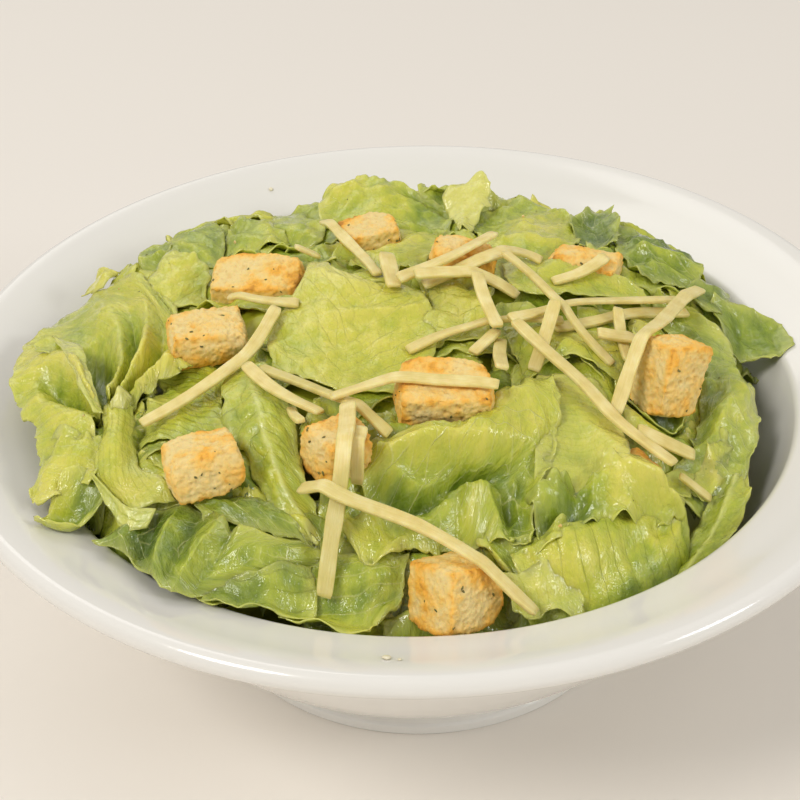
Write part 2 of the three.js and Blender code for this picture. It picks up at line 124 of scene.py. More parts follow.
def bowl_profile():
    """The outline from the middle of the underside, round the foot and the lip, to the middle of the well."""
    shoulder = FOOT_RADIUS - FOOT_STEP
    foot_inside = FOOT_RADIUS - FOOT_WIDTH
    corners = [
        (0, FOOT_RECESS, 0),
        (foot_inside - FOOT_SLOPE, FOOT_RECESS, 1.2),
        (foot_inside, 0, 0.5),
        (FOOT_RADIUS, 0, 0.6),
        (FOOT_RADIUS, FOOT_BAND_HEIGHT, 0.4),
        (shoulder, FOOT_BAND_HEIGHT + FOOT_STEP, 0.2),
        (shoulder, COLLAR_TOP, 0.8),
    ]
    corners += [(*outer_wall(radius), 0) for radius in WALL_CUTS]
    turn_out = WELL_RADIUS + FLANGE_THICKNESS + TURN_OUT_WIDTH
    turn_out_z = float(flange_height(turn_out)) - FLANGE_THICKNESS - TURN_OUT_DROP
    corners.append((turn_out, turn_out_z, 1.5))
    lip = (BOWL_RADIUS - LIP_ROUND, BOWL_HEIGHT - LIP_ROUND)
    for angle in LIP_ARC:
        corners.append((lip[0] + LIP_ROUND * math.cos(angle), lip[1] + LIP_ROUND * math.sin(angle), 0))
    flange_dip = WELL_RADIUS + FLANGE_DIP_WIDTH
    corners.append((flange_dip, float(flange_height(flange_dip)) - FLANGE_DIP, 3))
    corners.append((WELL_RADIUS, WELL_RIM_Z, 1.4))
    corners += [(radius, float(well_height(radius)), 0) for radius in WELL_CUTS]
    corners.append((0, WELL_FLOOR_Z, 0))
    return rounded(corners)


def placed(name, data):
    """A mesh, lamp or camera as an object in the scene."""
    piece = bpy.data.objects.new(name, data)
    bpy.context.scene.collection.objects.link(piece)
    return piece


def turned(name, profile, turns):
    """A solid turned round the upright axis, from a profile in millimetres that starts and ends on it."""
    mesh = bpy.data.meshes.new(name)
    bm = bmesh.new()
    verts = [bm.verts.new((radius * MM, 0, height * MM)) for radius, height in profile]
    edges = [bm.edges.new(pair) for pair in zip(verts, verts[1:])]
    full_turn = {"cent": (0, 0, 0), "axis": (0, 0, 1), "angle": 2 * math.pi, "steps": turns}
    bmesh.ops.spin(bm, geom=verts + edges, use_duplicate=False, **full_turn)
    bmesh.ops.remove_doubles(bm, verts=bm.verts, dist=1e-6)
    bmesh.ops.recalc_face_normals(bm, faces=bm.faces)
    for face in bm.faces:
        face.smooth = True
    bm.to_mesh(mesh)
    bm.free()
    return placed(name, mesh)


def new_material(name):
    """A material with its node tree, its main shader and a function that adds a node to it."""
    material = bpy.data.materials.new(name)
    material.use_nodes = True
    tree = material.node_tree
    shader = tree.nodes["Principled BSDF"]

    def add(kind, inputs=(), **settings):
        node = tree.nodes.new("ShaderNode" + kind)
        for key, value in settings.items():
            setattr(node, key, value)
        for key, value in dict(inputs).items():
            if isinstance(value, bpy.types.NodeSocket):
                tree.links.new(value, node.inputs[key])
            else:
                node.inputs[key].default_value = value
        return node

    return material, tree, shader, add


GLAZE_TONES = (0.80, 0.775, 0.72, 1), (0.835, 0.815, 0.765, 1)


def glazed_porcelain():
    material, tree, shader, add = new_material("glazed_porcelain")
    place = add("TexCoord").outputs["Object"]
    cloud = add("TexNoise", {"Vector": place, "Scale": 9.0, "Detail": 3.0})
    tint = add("ValToRGB", {"Fac": cloud.outputs["Fac"]})
    for element, colour in zip(tint.color_ramp.elements, GLAZE_TONES):
        element.color = colour
    tree.links.new(tint.outputs["Color"], shader.inputs["Base Color"])
    ripple = add("TexNoise", {"Vector": place, "Scale": 45.0, "Detail": 2.0})
    bump = add("Bump", {"Height": ripple.outputs["Fac"], "Strength": 0.06, "Distance": 0.0006})
    tree.links.new(bump.outputs["Normal"], shader.inputs["Normal"])
    gloss = add("MapRange", {"Value": ripple.outputs["Fac"], "To Min": 0.10, "To Max": 0.2})
    tree.links.new(gloss.outputs["Result"], shader.inputs["Roughness"])
    shader.inputs["Specular IOR Level"].default_value = 0.5
    shader.inputs["Coat Weight"].default_value = 0.3
    shader.inputs["Coat Roughness"].default_value = 0.06
    return material


bowl = turned("glazed_bowl", bowl_profile(), BOWL_TURNS)
bowl.data.materials.append(glazed_porcelain())
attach(bowl, "root")
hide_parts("bowl")


# ------------------------------------------------------------------ lie of the heap
# The leaves lie on the heap's own shape, keep clear of the bowl and are pressed down where
# shreds and croutons rest on them, so three maps of heights seen from above are taken first.

MAP_CELL = 1.0
MAP_REACH = 130
MAP_LINE = np.arange(-MAP_REACH, MAP_REACH + MAP_CELL, MAP_CELL)
NOTHING = 1000.0
SHRED_NODES = sorted(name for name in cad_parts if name.startswith("shred_"))
CROUTON_NODES = sorted(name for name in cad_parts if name.startswith("crouton_"))
SHRED_GAP = 0.35
SHRED_EASE = 0.45
CROUTON_EASE = 0.9
CROUTON_BITE = 0.5
CROUTON_MARGIN = 2
BELOW_BOWL = -0.01
ABOVE_HEAP = 0.2
FILL_ROUNDS = 60
SPREAD_ROUNDS = 12


def surface_of(node):
    """The faces of a node, ready to be met by a line."""
    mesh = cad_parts[node].data
    points = [vertex.co.copy() for vertex in mesh.vertices]
    return BVHTree.FromPolygons(points, [tuple(face.vertices) for face in mesh.polygons])


def seen_heights(node, upward):
    """The height at which a line down onto a node, or up into it, first meets it."""
    heights = np.full((MAP_LINE.size, MAP_LINE.size), np.nan)
    tree = surface_of(node)
    low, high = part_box(node)
    start_z = BELOW_BOWL if upward else ABOVE_HEAP
    way = Vector((0, 0, 1 if upward else -1))
    for i, y in enumerate(MAP_LINE):
        if not low.y / MM - 1 <= y <= high.y / MM + 1:
            continue
        for j, x in enumerate(MAP_LINE):
            if low.x / MM - 1 <= x <= high.x / MM + 1:
                hit = tree.ray_cast(Vector((x * MM, y * MM, start_z)), way)[0]
                if hit:
                    heights[i, j] = hit.z / MM
    return heights


def neighbours(grid):
    """The four neighbours of every cell of a map."""
    padded = np.pad(grid, 1, mode="edge")
    return padded[2:, 1:-1], padded[:-2, 1:-1], padded[1:-1, 2:], padded[1:-1, :-2]


def filled(grid, unknown):
    """A map whose unknown cells are stretched smoothly between the known ones."""
    result = np.where(unknown, np.nan, grid)
    while np.isnan(result).any():
        around = np.stack(neighbours(result))
        known = ~np.isnan(around)
        mean = np.where(known, around, 0).sum(0) / np.maximum(known.sum(0), 1)
        result = np.where(np.isnan(result) & known.any(0), mean, result)
    for _ in range(FILL_ROUNDS):
        result = np.where(unknown, np.mean(neighbours(result), axis=0), result)
    return result


def spread_down(grid, ease):
    """A ceiling that rises away from what presses down by so many millimetres a millimetre."""
    for _ in range(SPREAD_ROUNDS):
        grid = np.minimum(grid, np.min(neighbours(grid), axis=0) + ease * MAP_CELL)
    return grid


def read_map(grid, x, y):
    """Heights between the cells of a map."""
    column = np.clip((x + MAP_REACH) / MAP_CELL, 0, MAP_LINE.size - 1.001)
    row = np.clip((y + MAP_REACH) / MAP_CELL, 0, MAP_LINE.size - 1.001)
    j, i = column.astype(int), row.astype(int)
    f, g = column - j, row - i
    low = grid[i, j] * (1 - f) + grid[i, j + 1] * f
    high = grid[i + 1, j] * (1 - f) + grid[i + 1, j + 1] * f
    return low * (1 - g) + high * g


lettuce_top = seen_heights("lettuce", upward=False)
under_shreds = np.full(lettuce_top.shape, NOTHING)
for name in SHRED_NODES:
    bottom = seen_heights(name, upward=True) - SHRED_GAP
    under_shreds = np.fmin(under_shreds, bottom)
in_croutons = np.full(lettuce_top.shape, NOTHING)
near_crouton = np.zeros(lettuce_top.shape, bool)
for name in CROUTON_NODES:
    bottom = seen_heights(name, upward=True)
    top = seen_heights(name, upward=False)
    in_croutons = np.fmin(in_croutons, bottom + CROUTON_BITE * (top - bottom))
    near_crouton |= ~np.isnan(bottom)
for _ in range(CROUTON_MARGIN):
    near_crouton |= np.any(neighbours(near_crouton), axis=0)
heap_map = filled(lettuce_top, np.isnan(lettuce_top) | near_crouton)
shred_ceiling = spread_down(under_shreds, SHRED_EASE)
crouton_ceiling = spread_down(in_croutons, CROUTON_EASE)


# ------------------------------------------------------------------ uneven growth
# Repeatable chance, soft lumps and packed cells, from which every grown or broken surface
# of the salad takes its unevenness.

CHANCE_RATES = np.array([12.9898, 78.233, 37.719])
CHANCE_SEED = 4.581
CHANCE_HEIGHT = 43758.5453


def chance(cells, seed):
    """A repeatable value from 0 to 1 for each whole-numbered place."""
    turns = cells @ CHANCE_RATES[: cells.shape[-1]] + seed * CHANCE_SEED
    wave = np.sin(turns) * CHANCE_HEIGHT
    return wave - np.floor(wave)


def lumps(places, seed=0):
    """Soft lumps from -1 to 1, one unit across."""
    base = np.floor(places)
    part = places - base
    part = part * part * (3 - 2 * part)
    total = 0
    for corner in itertools.product((0, 1), repeat=places.shape[-1]):
        weight = np.prod(np.where(np.array(corner) == 1, part, 1 - part), axis=-1)
        total = total + weight * chance(base + np.array(corner), seed)
    return 2 * total - 1


def packed_cells(places, seed=0):
    """Distances to the nearest and the next nearest of scattered spots, one to a unit cell."""
    base = np.floor(places)
    nearest = np.full(places.shape[:-1], 9.0)
    second = nearest.copy()
    for step in itertools.product((-1, 0, 1), repeat=places.shape[-1]):
        cell = base + np.array(step)
        spot = cell + np.stack([chance(cell, seed + 17 * k + 1) for k in range(places.shape[-1])], -1)
        distance = np.linalg.norm(places - spot, axis=-1)
        second = np.minimum(second, np.maximum(nearest, distance))
        nearest = np.minimum(nearest, distance)
    return nearest, second


# ------------------------------------------------------------------ lettuce leaves
# Torn romaine: thin blades puckered between their veins, pale towards the rib, ruffled at the
# margin and moist with dressing. Each leaf is one thin closed sheet laid over the heap.

LEAF_STEP = 0.62
FEWEST_ROWS = 8
ROUGH_ROWS = 24
SEED_STEP = 3.7
BLADE_THICKNESS = 0.55
MARGIN_THICKNESS = 0.28
MARGIN_WIDTH = 4.0
RIB_THICKNESS = 1.1
RIB_TAPER = 0.6
RIB_HEIGHT = 0.9
BOWL_CLEARANCE = 0.35
UNDERSIDE_CLEARANCE = 0.1
TEAR_SIZE = 4.5
FINE_TEAR_SIZE = 1.6
TEAR_REACH = 3.0
RUFFLE_LENGTH = 12.0
RUFFLE_REACH = 5.0
FRILL_LENGTH = 4.6
FRILL_REACH = 2.0
RUFFLE_DRIFT = 2.5
RUFFLE_DRIFT_SIZE = 14
CURL_SIZE = 15
CURL_REACH = 3.0
SWELL_SIZE = 19.0
SWELL_HEIGHT = 2.2
WRINKLES = [(12.0, 3.6), (6.2, 1.9), (3.2, 1.0)]
WRINKLE_STRETCH = 1.7
WRINKLE_BEND = 0.6
WRINKLE_SLANT = 0.9
VEIN_PITCH = 6.5
VEIN_SLANT = 0.85
VEIN_DEPTH = 2.0
STRIPE_DEPTH = 0.7
STRIPE_SWELL = 9
SWAY_SIZE = 9
FINE_SWAY_SIZE = 3.5
CROSS_PITCH = 5.5
CROSS_OFFSET = 0.37
CROSS_SWAY_SIZE = 5
PUCKER_HEIGHT = 1.3
FINE_PUCKER_SIZE = 2.4
FINE_PUCKER_HEIGHT = 0.3
FINE_PUCKER_SEAM = 0.4
PATCH_SIZE = 11
FINE_PATCH_SIZE = 4
# Painted light on wrinkle crests and raised parts, and painted shade in the valleys and low hollows, as tone
# per unit.
CREST_PAINTED_LIGHT_AND_SHADE = 0.28
HEIGHT_PAINTED_LIGHT_AND_SHADE = 0.07
LIT_EDGE_WIDTH = 1.6


def smooth_rows(nodes, count, fold):
    """Rows of points through the given rows, on a smooth curve or, for a fold, partly straight."""
    place = np.linspace(0, len(nodes) - 1, count)
    i = np.minimum(place.astype(int), len(nodes) - 2)
    f = (place - i).reshape(-1, *[1] * (nodes.ndim - 1))
    ends = np.concatenate([2 * nodes[:1] - nodes[1:2], nodes, 2 * nodes[-1:] - nodes[-2:-1]])
    a, b, c, d = (ends[i + k] for k in range(4))
    curved = b + 0.5 * f * (c - a + f * (2 * a - 5 * b + 4 * c - d + f * (3 * (b - c) + d - a)))
    return curved * (1 - fold) + (b + f * (c - b)) * fold


def smooth_sheet(nodes, down_count, across_count, fold):
    """A net of many points through a few rows of given ones."""
    sheet = smooth_rows(nodes, down_count, fold).swapaxes(0, 1)
    return smooth_rows(sheet, across_count, fold).swapaxes(0, 1)


def lengths_along(points, axis):
    """Distance along the rows or columns of a sheet of points."""
    steps = np.linalg.norm(np.diff(points, axis=axis), axis=-1)
    pad = [(0, 0), (0, 0)]
    pad[axis] = (1, 0)
    return np.cumsum(np.pad(steps, pad), axis=axis)


def sheet_normals(points):
    """The upward direction square to a sheet at each of its points."""
    normals = np.cross(np.gradient(points, axis=1), np.gradient(points, axis=0))
    normals /= np.maximum(np.linalg.norm(normals, axis=-1, keepdims=True), 1e-9)
    return normals * np.where(normals[..., 2:].mean() < 0, -1, 1)


def held_below(height, ceiling, softness=0.5):
    """Heights bent softly under a ceiling."""
    over = np.clip((height - ceiling) / softness, -30, 30)
    return height - softness * np.log1p(np.exp(over))


def wrinkles(grain, size, seed):
    """Sharp-topped wrinkles of one size that wander down a leaf, from 0 in the valleys to 1 on the crests."""
    slant = math.sin(seed * 12.7) * WRINKLE_SLANT
    turn = np.array([[math.cos(slant), -math.sin(slant)], [math.sin(slant), math.cos(slant)]])
    wander = grain / (WRINKLE_STRETCH * size)
    bend = np.stack([lumps(wander, seed + 2), lumps(wander, seed + 3)], -1)
    places = grain @ turn / np.array([size, size * WRINKLE_STRETCH]) + WRINKLE_BEND * bend
    return (1 - np.abs(lumps(places, seed))) ** 2


def ruffled_edge(grain, edge, ruffle, curl, seed):
    """The rise and fall of a leaf's margin: long waves, short frills and a slow curl."""
    across, down = grain[..., 0], grain[..., 1]
    drift = RUFFLE_DRIFT * lumps(grain / RUFFLE_DRIFT_SIZE, seed + 5)
    wave = np.sin(2 * math.pi * (across * 0.8 + down) / RUFFLE_LENGTH + drift)
    frill = np.sin(2 * math.pi * (across - 0.7 * down) / FRILL_LENGTH + 2 * drift)
    rise = ruffle * (np.exp(-edge / RUFFLE_REACH) * wave + 0.4 * np.exp(-edge / FRILL_REACH) * frill)
    return rise, curl * (lumps(grain / CURL_SIZE, seed + 6) + 0.4) * np.exp(-edge / CURL_REACH)


def vein_net(grain, stripes, lengthwise, seed):
    """Where a place lies between the side veins and between the cross veins, and how it swells there."""
    across, down = grain[..., 0], grain[..., 1]
    sway = lumps(grain / SWAY_SIZE, seed + 7) + 0.4 * lumps(grain / FINE_SWAY_SIZE, seed + 9)
    if stripes:
        row = (across if lengthwise else down) / stripes + 0.3 * sway
    else:
        row = (down - VEIN_SLANT * np.abs(across)) / VEIN_PITCH + 0.35 * sway
    column = across / CROSS_PITCH + 0.4 * lumps(grain / CROSS_SWAY_SIZE, seed + 1)
    cell = np.abs(np.sin(math.pi * row)) ** 0.6
    if not stripes:
        cell *= np.abs(np.sin(math.pi * (column + CROSS_OFFSET * np.floor(row)))) ** 0.5
    return row, column, cell


class Leaf:
    """One torn leaf: rows of (x, y, lift above the heap) in millimetres, and how its blade grew.

    The tone runs from 0, dark green, to 1, pale yellow; a pair of tones fades from the first row
    to the last. A pucker below 0 sinks between the veins, and stripes give the pitch of veins
    that run side by side.
    """

    count = 0

    def __init__(self, rows, tone=0.6, pucker=0.5, crumple=0.6, ruffle=1.0, rib=0.0, stripes=0.0,
                 lengthwise=False, fold=0.0, tear=1.0, flat=0.0, curl=1.6, depth=1.0, vein=None, swell=None,
                 step=LEAF_STEP, pressed=True, ceiling=None):
        Leaf.count += 1
        seed = Leaf.count * SEED_STEP
        nodes = np.array(rows, float) * np.array([1, 1, depth])
        rough = smooth_sheet(nodes, ROUGH_ROWS, ROUGH_ROWS, fold)
        down_count = max(FEWEST_ROWS, int(lengths_along(rough, 0)[-1].mean() / step))
        across_count = max(FEWEST_ROWS, int(lengths_along(rough, 1)[:, -1].mean() / step))
        net = smooth_sheet(nodes, down_count, across_count, fold)
        down = lengths_along(net, 0)
        from_side = lengths_along(net, 1)
        across = from_side - from_side[:, -1:] / 2
        end_edge = np.minimum(down, down[-1:] - down)
        edge = np.minimum(end_edge, np.minimum(from_side, from_side[:, -1:] - from_side))
        grain = np.stack([across, down], -1)

        torn = np.exp(-edge / TEAR_REACH)
        for k in range(2):
            wide_tear = lumps(grain / TEAR_SIZE, seed + 40 * k)
            fine_tear = lumps(grain / FINE_TEAR_SIZE, seed + 41 * k)
            net[..., k] += tear * torn * (wide_tear + 0.4 * fine_tear)
        rise, roll = ruffled_edge(grain, edge, ruffle, curl, seed)
        lift = net[..., 2] + rise
        lift += roll
        lift += crumple * SWELL_HEIGHT * lumps(grain / SWELL_SIZE, seed + 8)
        for k, (size, height) in enumerate(WRINKLES):
            lift += crumple * (1 - flat) * height * (wrinkles(grain, size, seed + 12 + k) - 0.4)
        x, y = net[..., 0], net[..., 1]
        points = np.stack([x, y, read_map(heap_map, x, y) + lift], -1)

        vein_row, vein_column, cell = vein_net(grain, stripes, lengthwise, seed)
        near, second = packed_cells(grain / FINE_PUCKER_SIZE, seed + 3)
        small_cell = np.clip((second - near) / FINE_PUCKER_SEAM, 0, 1)
        if swell is None:
            swell = stripes / STRIPE_SWELL if stripes else PUCKER_HEIGHT * pucker
        relief = swell * cell + FINE_PUCKER_HEIGHT * abs(pucker) * np.sqrt(small_cell)
        ridge = np.zeros_like(down)
        if rib:
            ridge = np.exp(-((across / (rib * (1 - RIB_TAPER * down / down[-1:]))) ** 2))
            relief = relief * (1 - ridge) + RIB_HEIGHT * ridge
        points += sheet_normals(points) * relief[..., None]

        if pressed:
            points[..., 2] = held_below(points[..., 2], read_map(crouton_ceiling, x, y))
        if ceiling is not None:
            points[..., 2] = held_below(points[..., 2], read_map(ceiling, x, y) - BLADE_THICKNESS)
        points[..., 2] = held_below(points[..., 2], read_map(shred_ceiling, x, y))
        fade = np.clip(edge / MARGIN_WIDTH, 0, 1)
        thick = MARGIN_THICKNESS + (BLADE_THICKNESS - MARGIN_THICKNESS) * fade + RIB_THICKNESS * ridge
        floor = bowl_top(np.hypot(points[..., 0], points[..., 1])) + BOWL_CLEARANCE + thick
        points[..., 2] = -held_below(-points[..., 2], -floor, 0.3)
        under = points - sheet_normals(points) * thick[..., None]
        under_floor = bowl_top(np.hypot(under[..., 0], under[..., 1])) + UNDERSIDE_CLEARANCE
        under[..., 2] = np.maximum(under[..., 2], under_floor)
        self.points = np.concatenate([points.reshape(-1, 3), under.reshape(-1, 3)])
        self.faces = closed_sheet_faces(*points.shape[:2])

        tones = np.linspace(*(tone if isinstance(tone, tuple) else (tone, tone)), down_count)[:, None]
        tone_with_painted_shade = tones + 0.10 * lumps(grain / PATCH_SIZE, seed + 20)
        tone_with_painted_shade = tone_with_painted_shade + 0.05 * lumps(grain / FINE_PATCH_SIZE, seed + 21)
        # Wrinkle crests are painted paler and their valleys darker, and the parts the rows lift high or sink
        # low paler or darker: painted light on the raised parts and painted shade in the hollows.
        crest = wrinkles(grain, WRINKLES[0][0], seed + 12)
        tone_with_painted_shade += CREST_PAINTED_LIGHT_AND_SHADE * (crest - 0.45) * (1 - flat) + HEIGHT_PAINTED_LIGHT_AND_SHADE * (net[..., 2] - net[..., 2].mean())
        if vein is None:
            vein = -STRIPE_DEPTH if stripes else -VEIN_DEPTH * pucker
        own_layer = np.full(edge.shape, 50.0 * Leaf.count)
        pitch = np.full(edge.shape, stripes or VEIN_PITCH)
        self.marks = {
            "tone": np.tile(tone_with_painted_shade.ravel(), 2),
            "vein": np.tile((vein * (1 - ridge)).ravel(), 2),
            "rib": np.tile(np.maximum(ridge, flat).ravel(), 2),
            # The thin margin is painted paler, as painted light shining through it.
            "margin": np.tile(np.exp(-edge / LIT_EDGE_WIDTH).ravel(), 2),
            "grain": np.tile(np.stack([across, down, own_layer], -1).reshape(-1, 3), (2, 1)),
            "net": np.tile(np.stack([vein_row, vein_column, pitch], -1).reshape(-1, 3), (2, 1)),
        }


def closed_sheet_faces(rows, columns):
    """The faces of a sheet of points, of the same sheet below it, and of the rim between them."""
    index = np.arange(rows * columns).reshape(rows, columns)
    upper = np.stack([index[:-1, :-1], index[:-1, 1:], index[1:, 1:], index[1:, :-1]], -1).reshape(-1, 4)
    lower = upper[:, ::-1] + rows * columns
    rim = np.concatenate([index[0, :-1], index[:-1, -1], index[-1, :0:-1], index[:0:-1, 0]])
    rim_next = np.roll(rim, -1)
    sides = np.stack([rim_next, rim, rim + rows * columns, rim_next + rows * columns], -1)
    return np.concatenate([upper, lower, sides])


def mark_points(mesh, key, values):
    """Writes a number or a vector on every point of a mesh, for its material to read."""
    kind, field = ("FLOAT", "value") if values.ndim == 1 else ("FLOAT_VECTOR", "vector")
    mesh.attributes.new(key, kind, "POINT").data.foreach_set(field, values.astype(np.float32).ravel())


def mesh_piece(name, points, faces, marks, smooth=True):
    """A closed mesh from points in millimetres, marked on its points, with its faces turned outward."""
    mesh = bpy.data.meshes.new(name)
    mesh.from_pydata((points * MM).tolist(), [], faces)
    mesh.update()
    for key, values in marks.items():
        mark_points(mesh, key, values)
    mesh.polygons.foreach_set("use_smooth", [smooth] * len(mesh.polygons))
    bm = bmesh.new()
    bm.from_mesh(mesh)
    bmesh.ops.recalc_face_normals(bm, faces=bm.faces)
    bm.to_mesh(mesh)
    bm.free()
    return placed(name, mesh)


def lettuce_piece(name, leaves, material):
    """One mesh of several leaves that lie together."""
    offsets = np.cumsum([0] + [len(leaf.points) for leaf in leaves[:-1]])
    points = np.concatenate([leaf.points for leaf in leaves])
    faces = np.concatenate([leaf.faces + offset for leaf, offset in zip(leaves, offsets)])
    marks = {key: np.concatenate([leaf.marks[key] for leaf in leaves]) for key in leaves[0].marks}
    piece = mesh_piece(name, points, faces.tolist(), marks)
    piece.data.materials.append(material)
    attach(piece, "root")
    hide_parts("lettuce")


LEAF_TONES = [
    (0.0, (0.09, 0.155, 0.008, 1)),
    (0.25, (0.23, 0.31, 0.022, 1)),
    (0.5, (0.44, 0.50, 0.045, 1)),
    (0.75, (0.60, 0.60, 0.065, 1)),
    (1.0, (0.74, 0.68, 0.11, 1)),
]
VEIN_COLOUR = (0.74, 0.75, 0.30, 1)
DEEP_VEIN_COLOUR = (0.17, 0.22, 0.015, 1)
LIT_MARGIN_COLOUR = (0.72, 0.72, 0.22, 1)
VEIN_WIDTH = 0.26
CROSS_VEIN_WIDTH = 0.045
FINE_VEIN_WIDTH = 0.09


def colour_ramp(add, value, stops):
    """The colour for a value, between the stops given as (value, colour)."""
    ramp = add("ValToRGB", {"Fac": value})
    while len(ramp.color_ramp.elements) < len(stops):
        ramp.color_ramp.elements.new(0.5)
    for element, (place, colour) in zip(ramp.color_ramp.elements, stops):
        element.position = place
        element.color = colour
    return ramp.outputs["Color"]


def romaine_blade():
    """A blade from dark green to pale yellow, netted with veins and wet with dressing."""
    material, tree, shader, add = new_material("romaine_blade")
    tone = add("Attribute", attribute_name="tone").outputs["Fac"]
    vein = add("Attribute", attribute_name="vein").outputs["Fac"]
    rib = add("Attribute", attribute_name="rib").outputs["Fac"]
    margin = add("Attribute", attribute_name="margin").outputs["Fac"]
    grain = add("Attribute", attribute_name="grain").outputs["Vector"]

    # The tone attribute holds each leaf's own tone together with its painted light on crests and painted shade
    # in hollows.
    cloud = add("TexNoise", {"Vector": grain, "Scale": 0.3, "Detail": 5.0})
    patch = add("Math", {0: cloud.outputs["Fac"], 1: 0.5}, operation="SUBTRACT")
    patch = add("Math", {0: patch.outputs[0], 1: 0.75, 2: tone}, operation="MULTIPLY_ADD")
    blade = colour_ramp(add, patch.outputs[0], LEAF_TONES)

    split = add("SeparateXYZ", {"Vector": add("Attribute", attribute_name="net").outputs["Vector"]})
    lane = add("Math", {0: split.outputs["X"]}, operation="FLOOR")
    cross = add("Math", {0: lane.outputs[0], 1: CROSS_OFFSET, 2: split.outputs["Y"]},
                operation="MULTIPLY_ADD")
    from_row = add("Math", {0: split.outputs["X"], 1: 0.5}, operation="PINGPONG")
    from_row = add("Math", {0: from_row.outputs[0], 1: split.outputs["Z"]}, operation="MULTIPLY")
    from_cross = add("Math", {0: cross.outputs[0], 1: 0.5}, operation="PINGPONG")
    row_line = add("MapRange", {"Value": from_row.outputs[0], "From Max": VEIN_WIDTH,
                                "To Min": 1.0, "To Max": 0.0})
    cross_line = add("MapRange", {"Value": from_cross.outputs[0], "From Max": CROSS_VEIN_WIDTH,
                                  "To Min": 0.7, "To Max": 0.0})
    full_pitch = add("Math", {0: split.outputs["Z"], 1: VEIN_PITCH - 0.1}, operation="GREATER_THAN")
    cross_line = add("Math", {0: cross_line.outputs[0], 1: full_pitch.outputs[0]}, operation="MULTIPLY")
    big_line = add("Math", {0: row_line.outputs[0], 1: cross_line.outputs[0]}, operation="MAXIMUM")
    fading = add("TexNoise", {"Vector": grain, "Scale": 0.13, "Detail": 2.0})
    fading = add("MapRange", {"Value": fading.outputs["Fac"], "From Min": 0.35, "From Max": 0.6,
                              "To Min": 0.25})
    big_line = add("Math", {0: big_line.outputs[0], 1: fading.outputs[0]}, operation="MULTIPLY")
    fine = add("TexVoronoi", {"Vector": grain, "Scale": 0.62}, feature="DISTANCE_TO_EDGE")
    fine_line = add("MapRange", {"Value": fine.outputs["Distance"], "From Max": FINE_VEIN_WIDTH,
                                 "To Min": 0.12, "To Max": 0.0})
    lines = add("Math", {0: big_line.outputs[0], 1: fine_line.outputs[0]}, operation="MAXIMUM")

    signed = add("Math", {0: lines.outputs[0], 1: vein}, operation="MULTIPLY")
    pale = add("Math", {0: rib, 1: 0.5, 2: signed.outputs[0]}, operation="MULTIPLY_ADD", use_clamp=True)
    veined = add("Mix", {0: pale.outputs[0], 6: blade, 7: VEIN_COLOUR}, data_type="RGBA")
    dark = add("Math", {0: signed.outputs[0], 1: -0.45}, operation="MULTIPLY", use_clamp=True)
    deep = add("Mix", {0: dark.outputs[0], 6: veined.outputs[2], 7: DEEP_VEIN_COLOUR}, data_type="RGBA")
    # The margin is mixed towards a pale colour: painted light shining through the thin edge.
    edge = add("Math", {0: margin, 1: 0.45}, operation="MULTIPLY")
    final = add("Mix", {0: edge.outputs[0], 6: deep.outputs[2], 7: LIT_MARGIN_COLOUR}, data_type="RGBA")
    tree.links.new(final.outputs[2], shader.inputs["Base Color"])

    wet = add("TexNoise", {"Vector": grain, "Scale": 0.15, "Detail": 2.0})
    gloss = add("MapRange", {"Value": wet.outputs["Fac"], "From Min": 0.4, "From Max": 0.65,
                             "To Min": 0.14, "To Max": 0.34})
    tree.links.new(gloss.outputs[0], shader.inputs["Roughness"])
    crinkle = add("TexNoise", {"Vector": grain, "Scale": 0.5, "Detail": 3.0, "Roughness": 0.6})
    height = add("Math", {0: signed.outputs[0], 1: 0.35, 2: crinkle.outputs["Fac"]}, operation="MULTIPLY_ADD")
    bump = add("Bump", {"Height": height.outputs[0], "Strength": 0.8, "Distance": 0.0009})
    tree.links.new(bump.outputs["Normal"], shader.inputs["Normal"])
    film = add("TexNoise", {"Vector": grain, "Scale": 1.1, "Detail": 2.0})
    film_bump = add("Bump", {"Height": film.outputs["Fac"], "Strength": 0.6, "Distance": 0.0004})
    tree.links.new(film_bump.outputs["Normal"], shader.inputs["Coat Normal"])
    shader.inputs["Coat Weight"].default_value = 0.6
    shader.inputs["Coat Roughness"].default_value = 0.07
    shader.inputs["Subsurface Weight"].default_value = 0.36
    shader.inputs["Subsurface Radius"].default_value = (0.9, 1.0, 0.15)
    shader.inputs["Subsurface Scale"].default_value = 0.002
    shader.inputs["Specular IOR Level"].default_value = 0.4
    return material


romaine = romaine_blade()


# ------------------------------------------------------------------ pale leaf on the crown
# The broad yellow-green blade on top of the heap, the broken blades beside it and the bright
# folded one behind them.

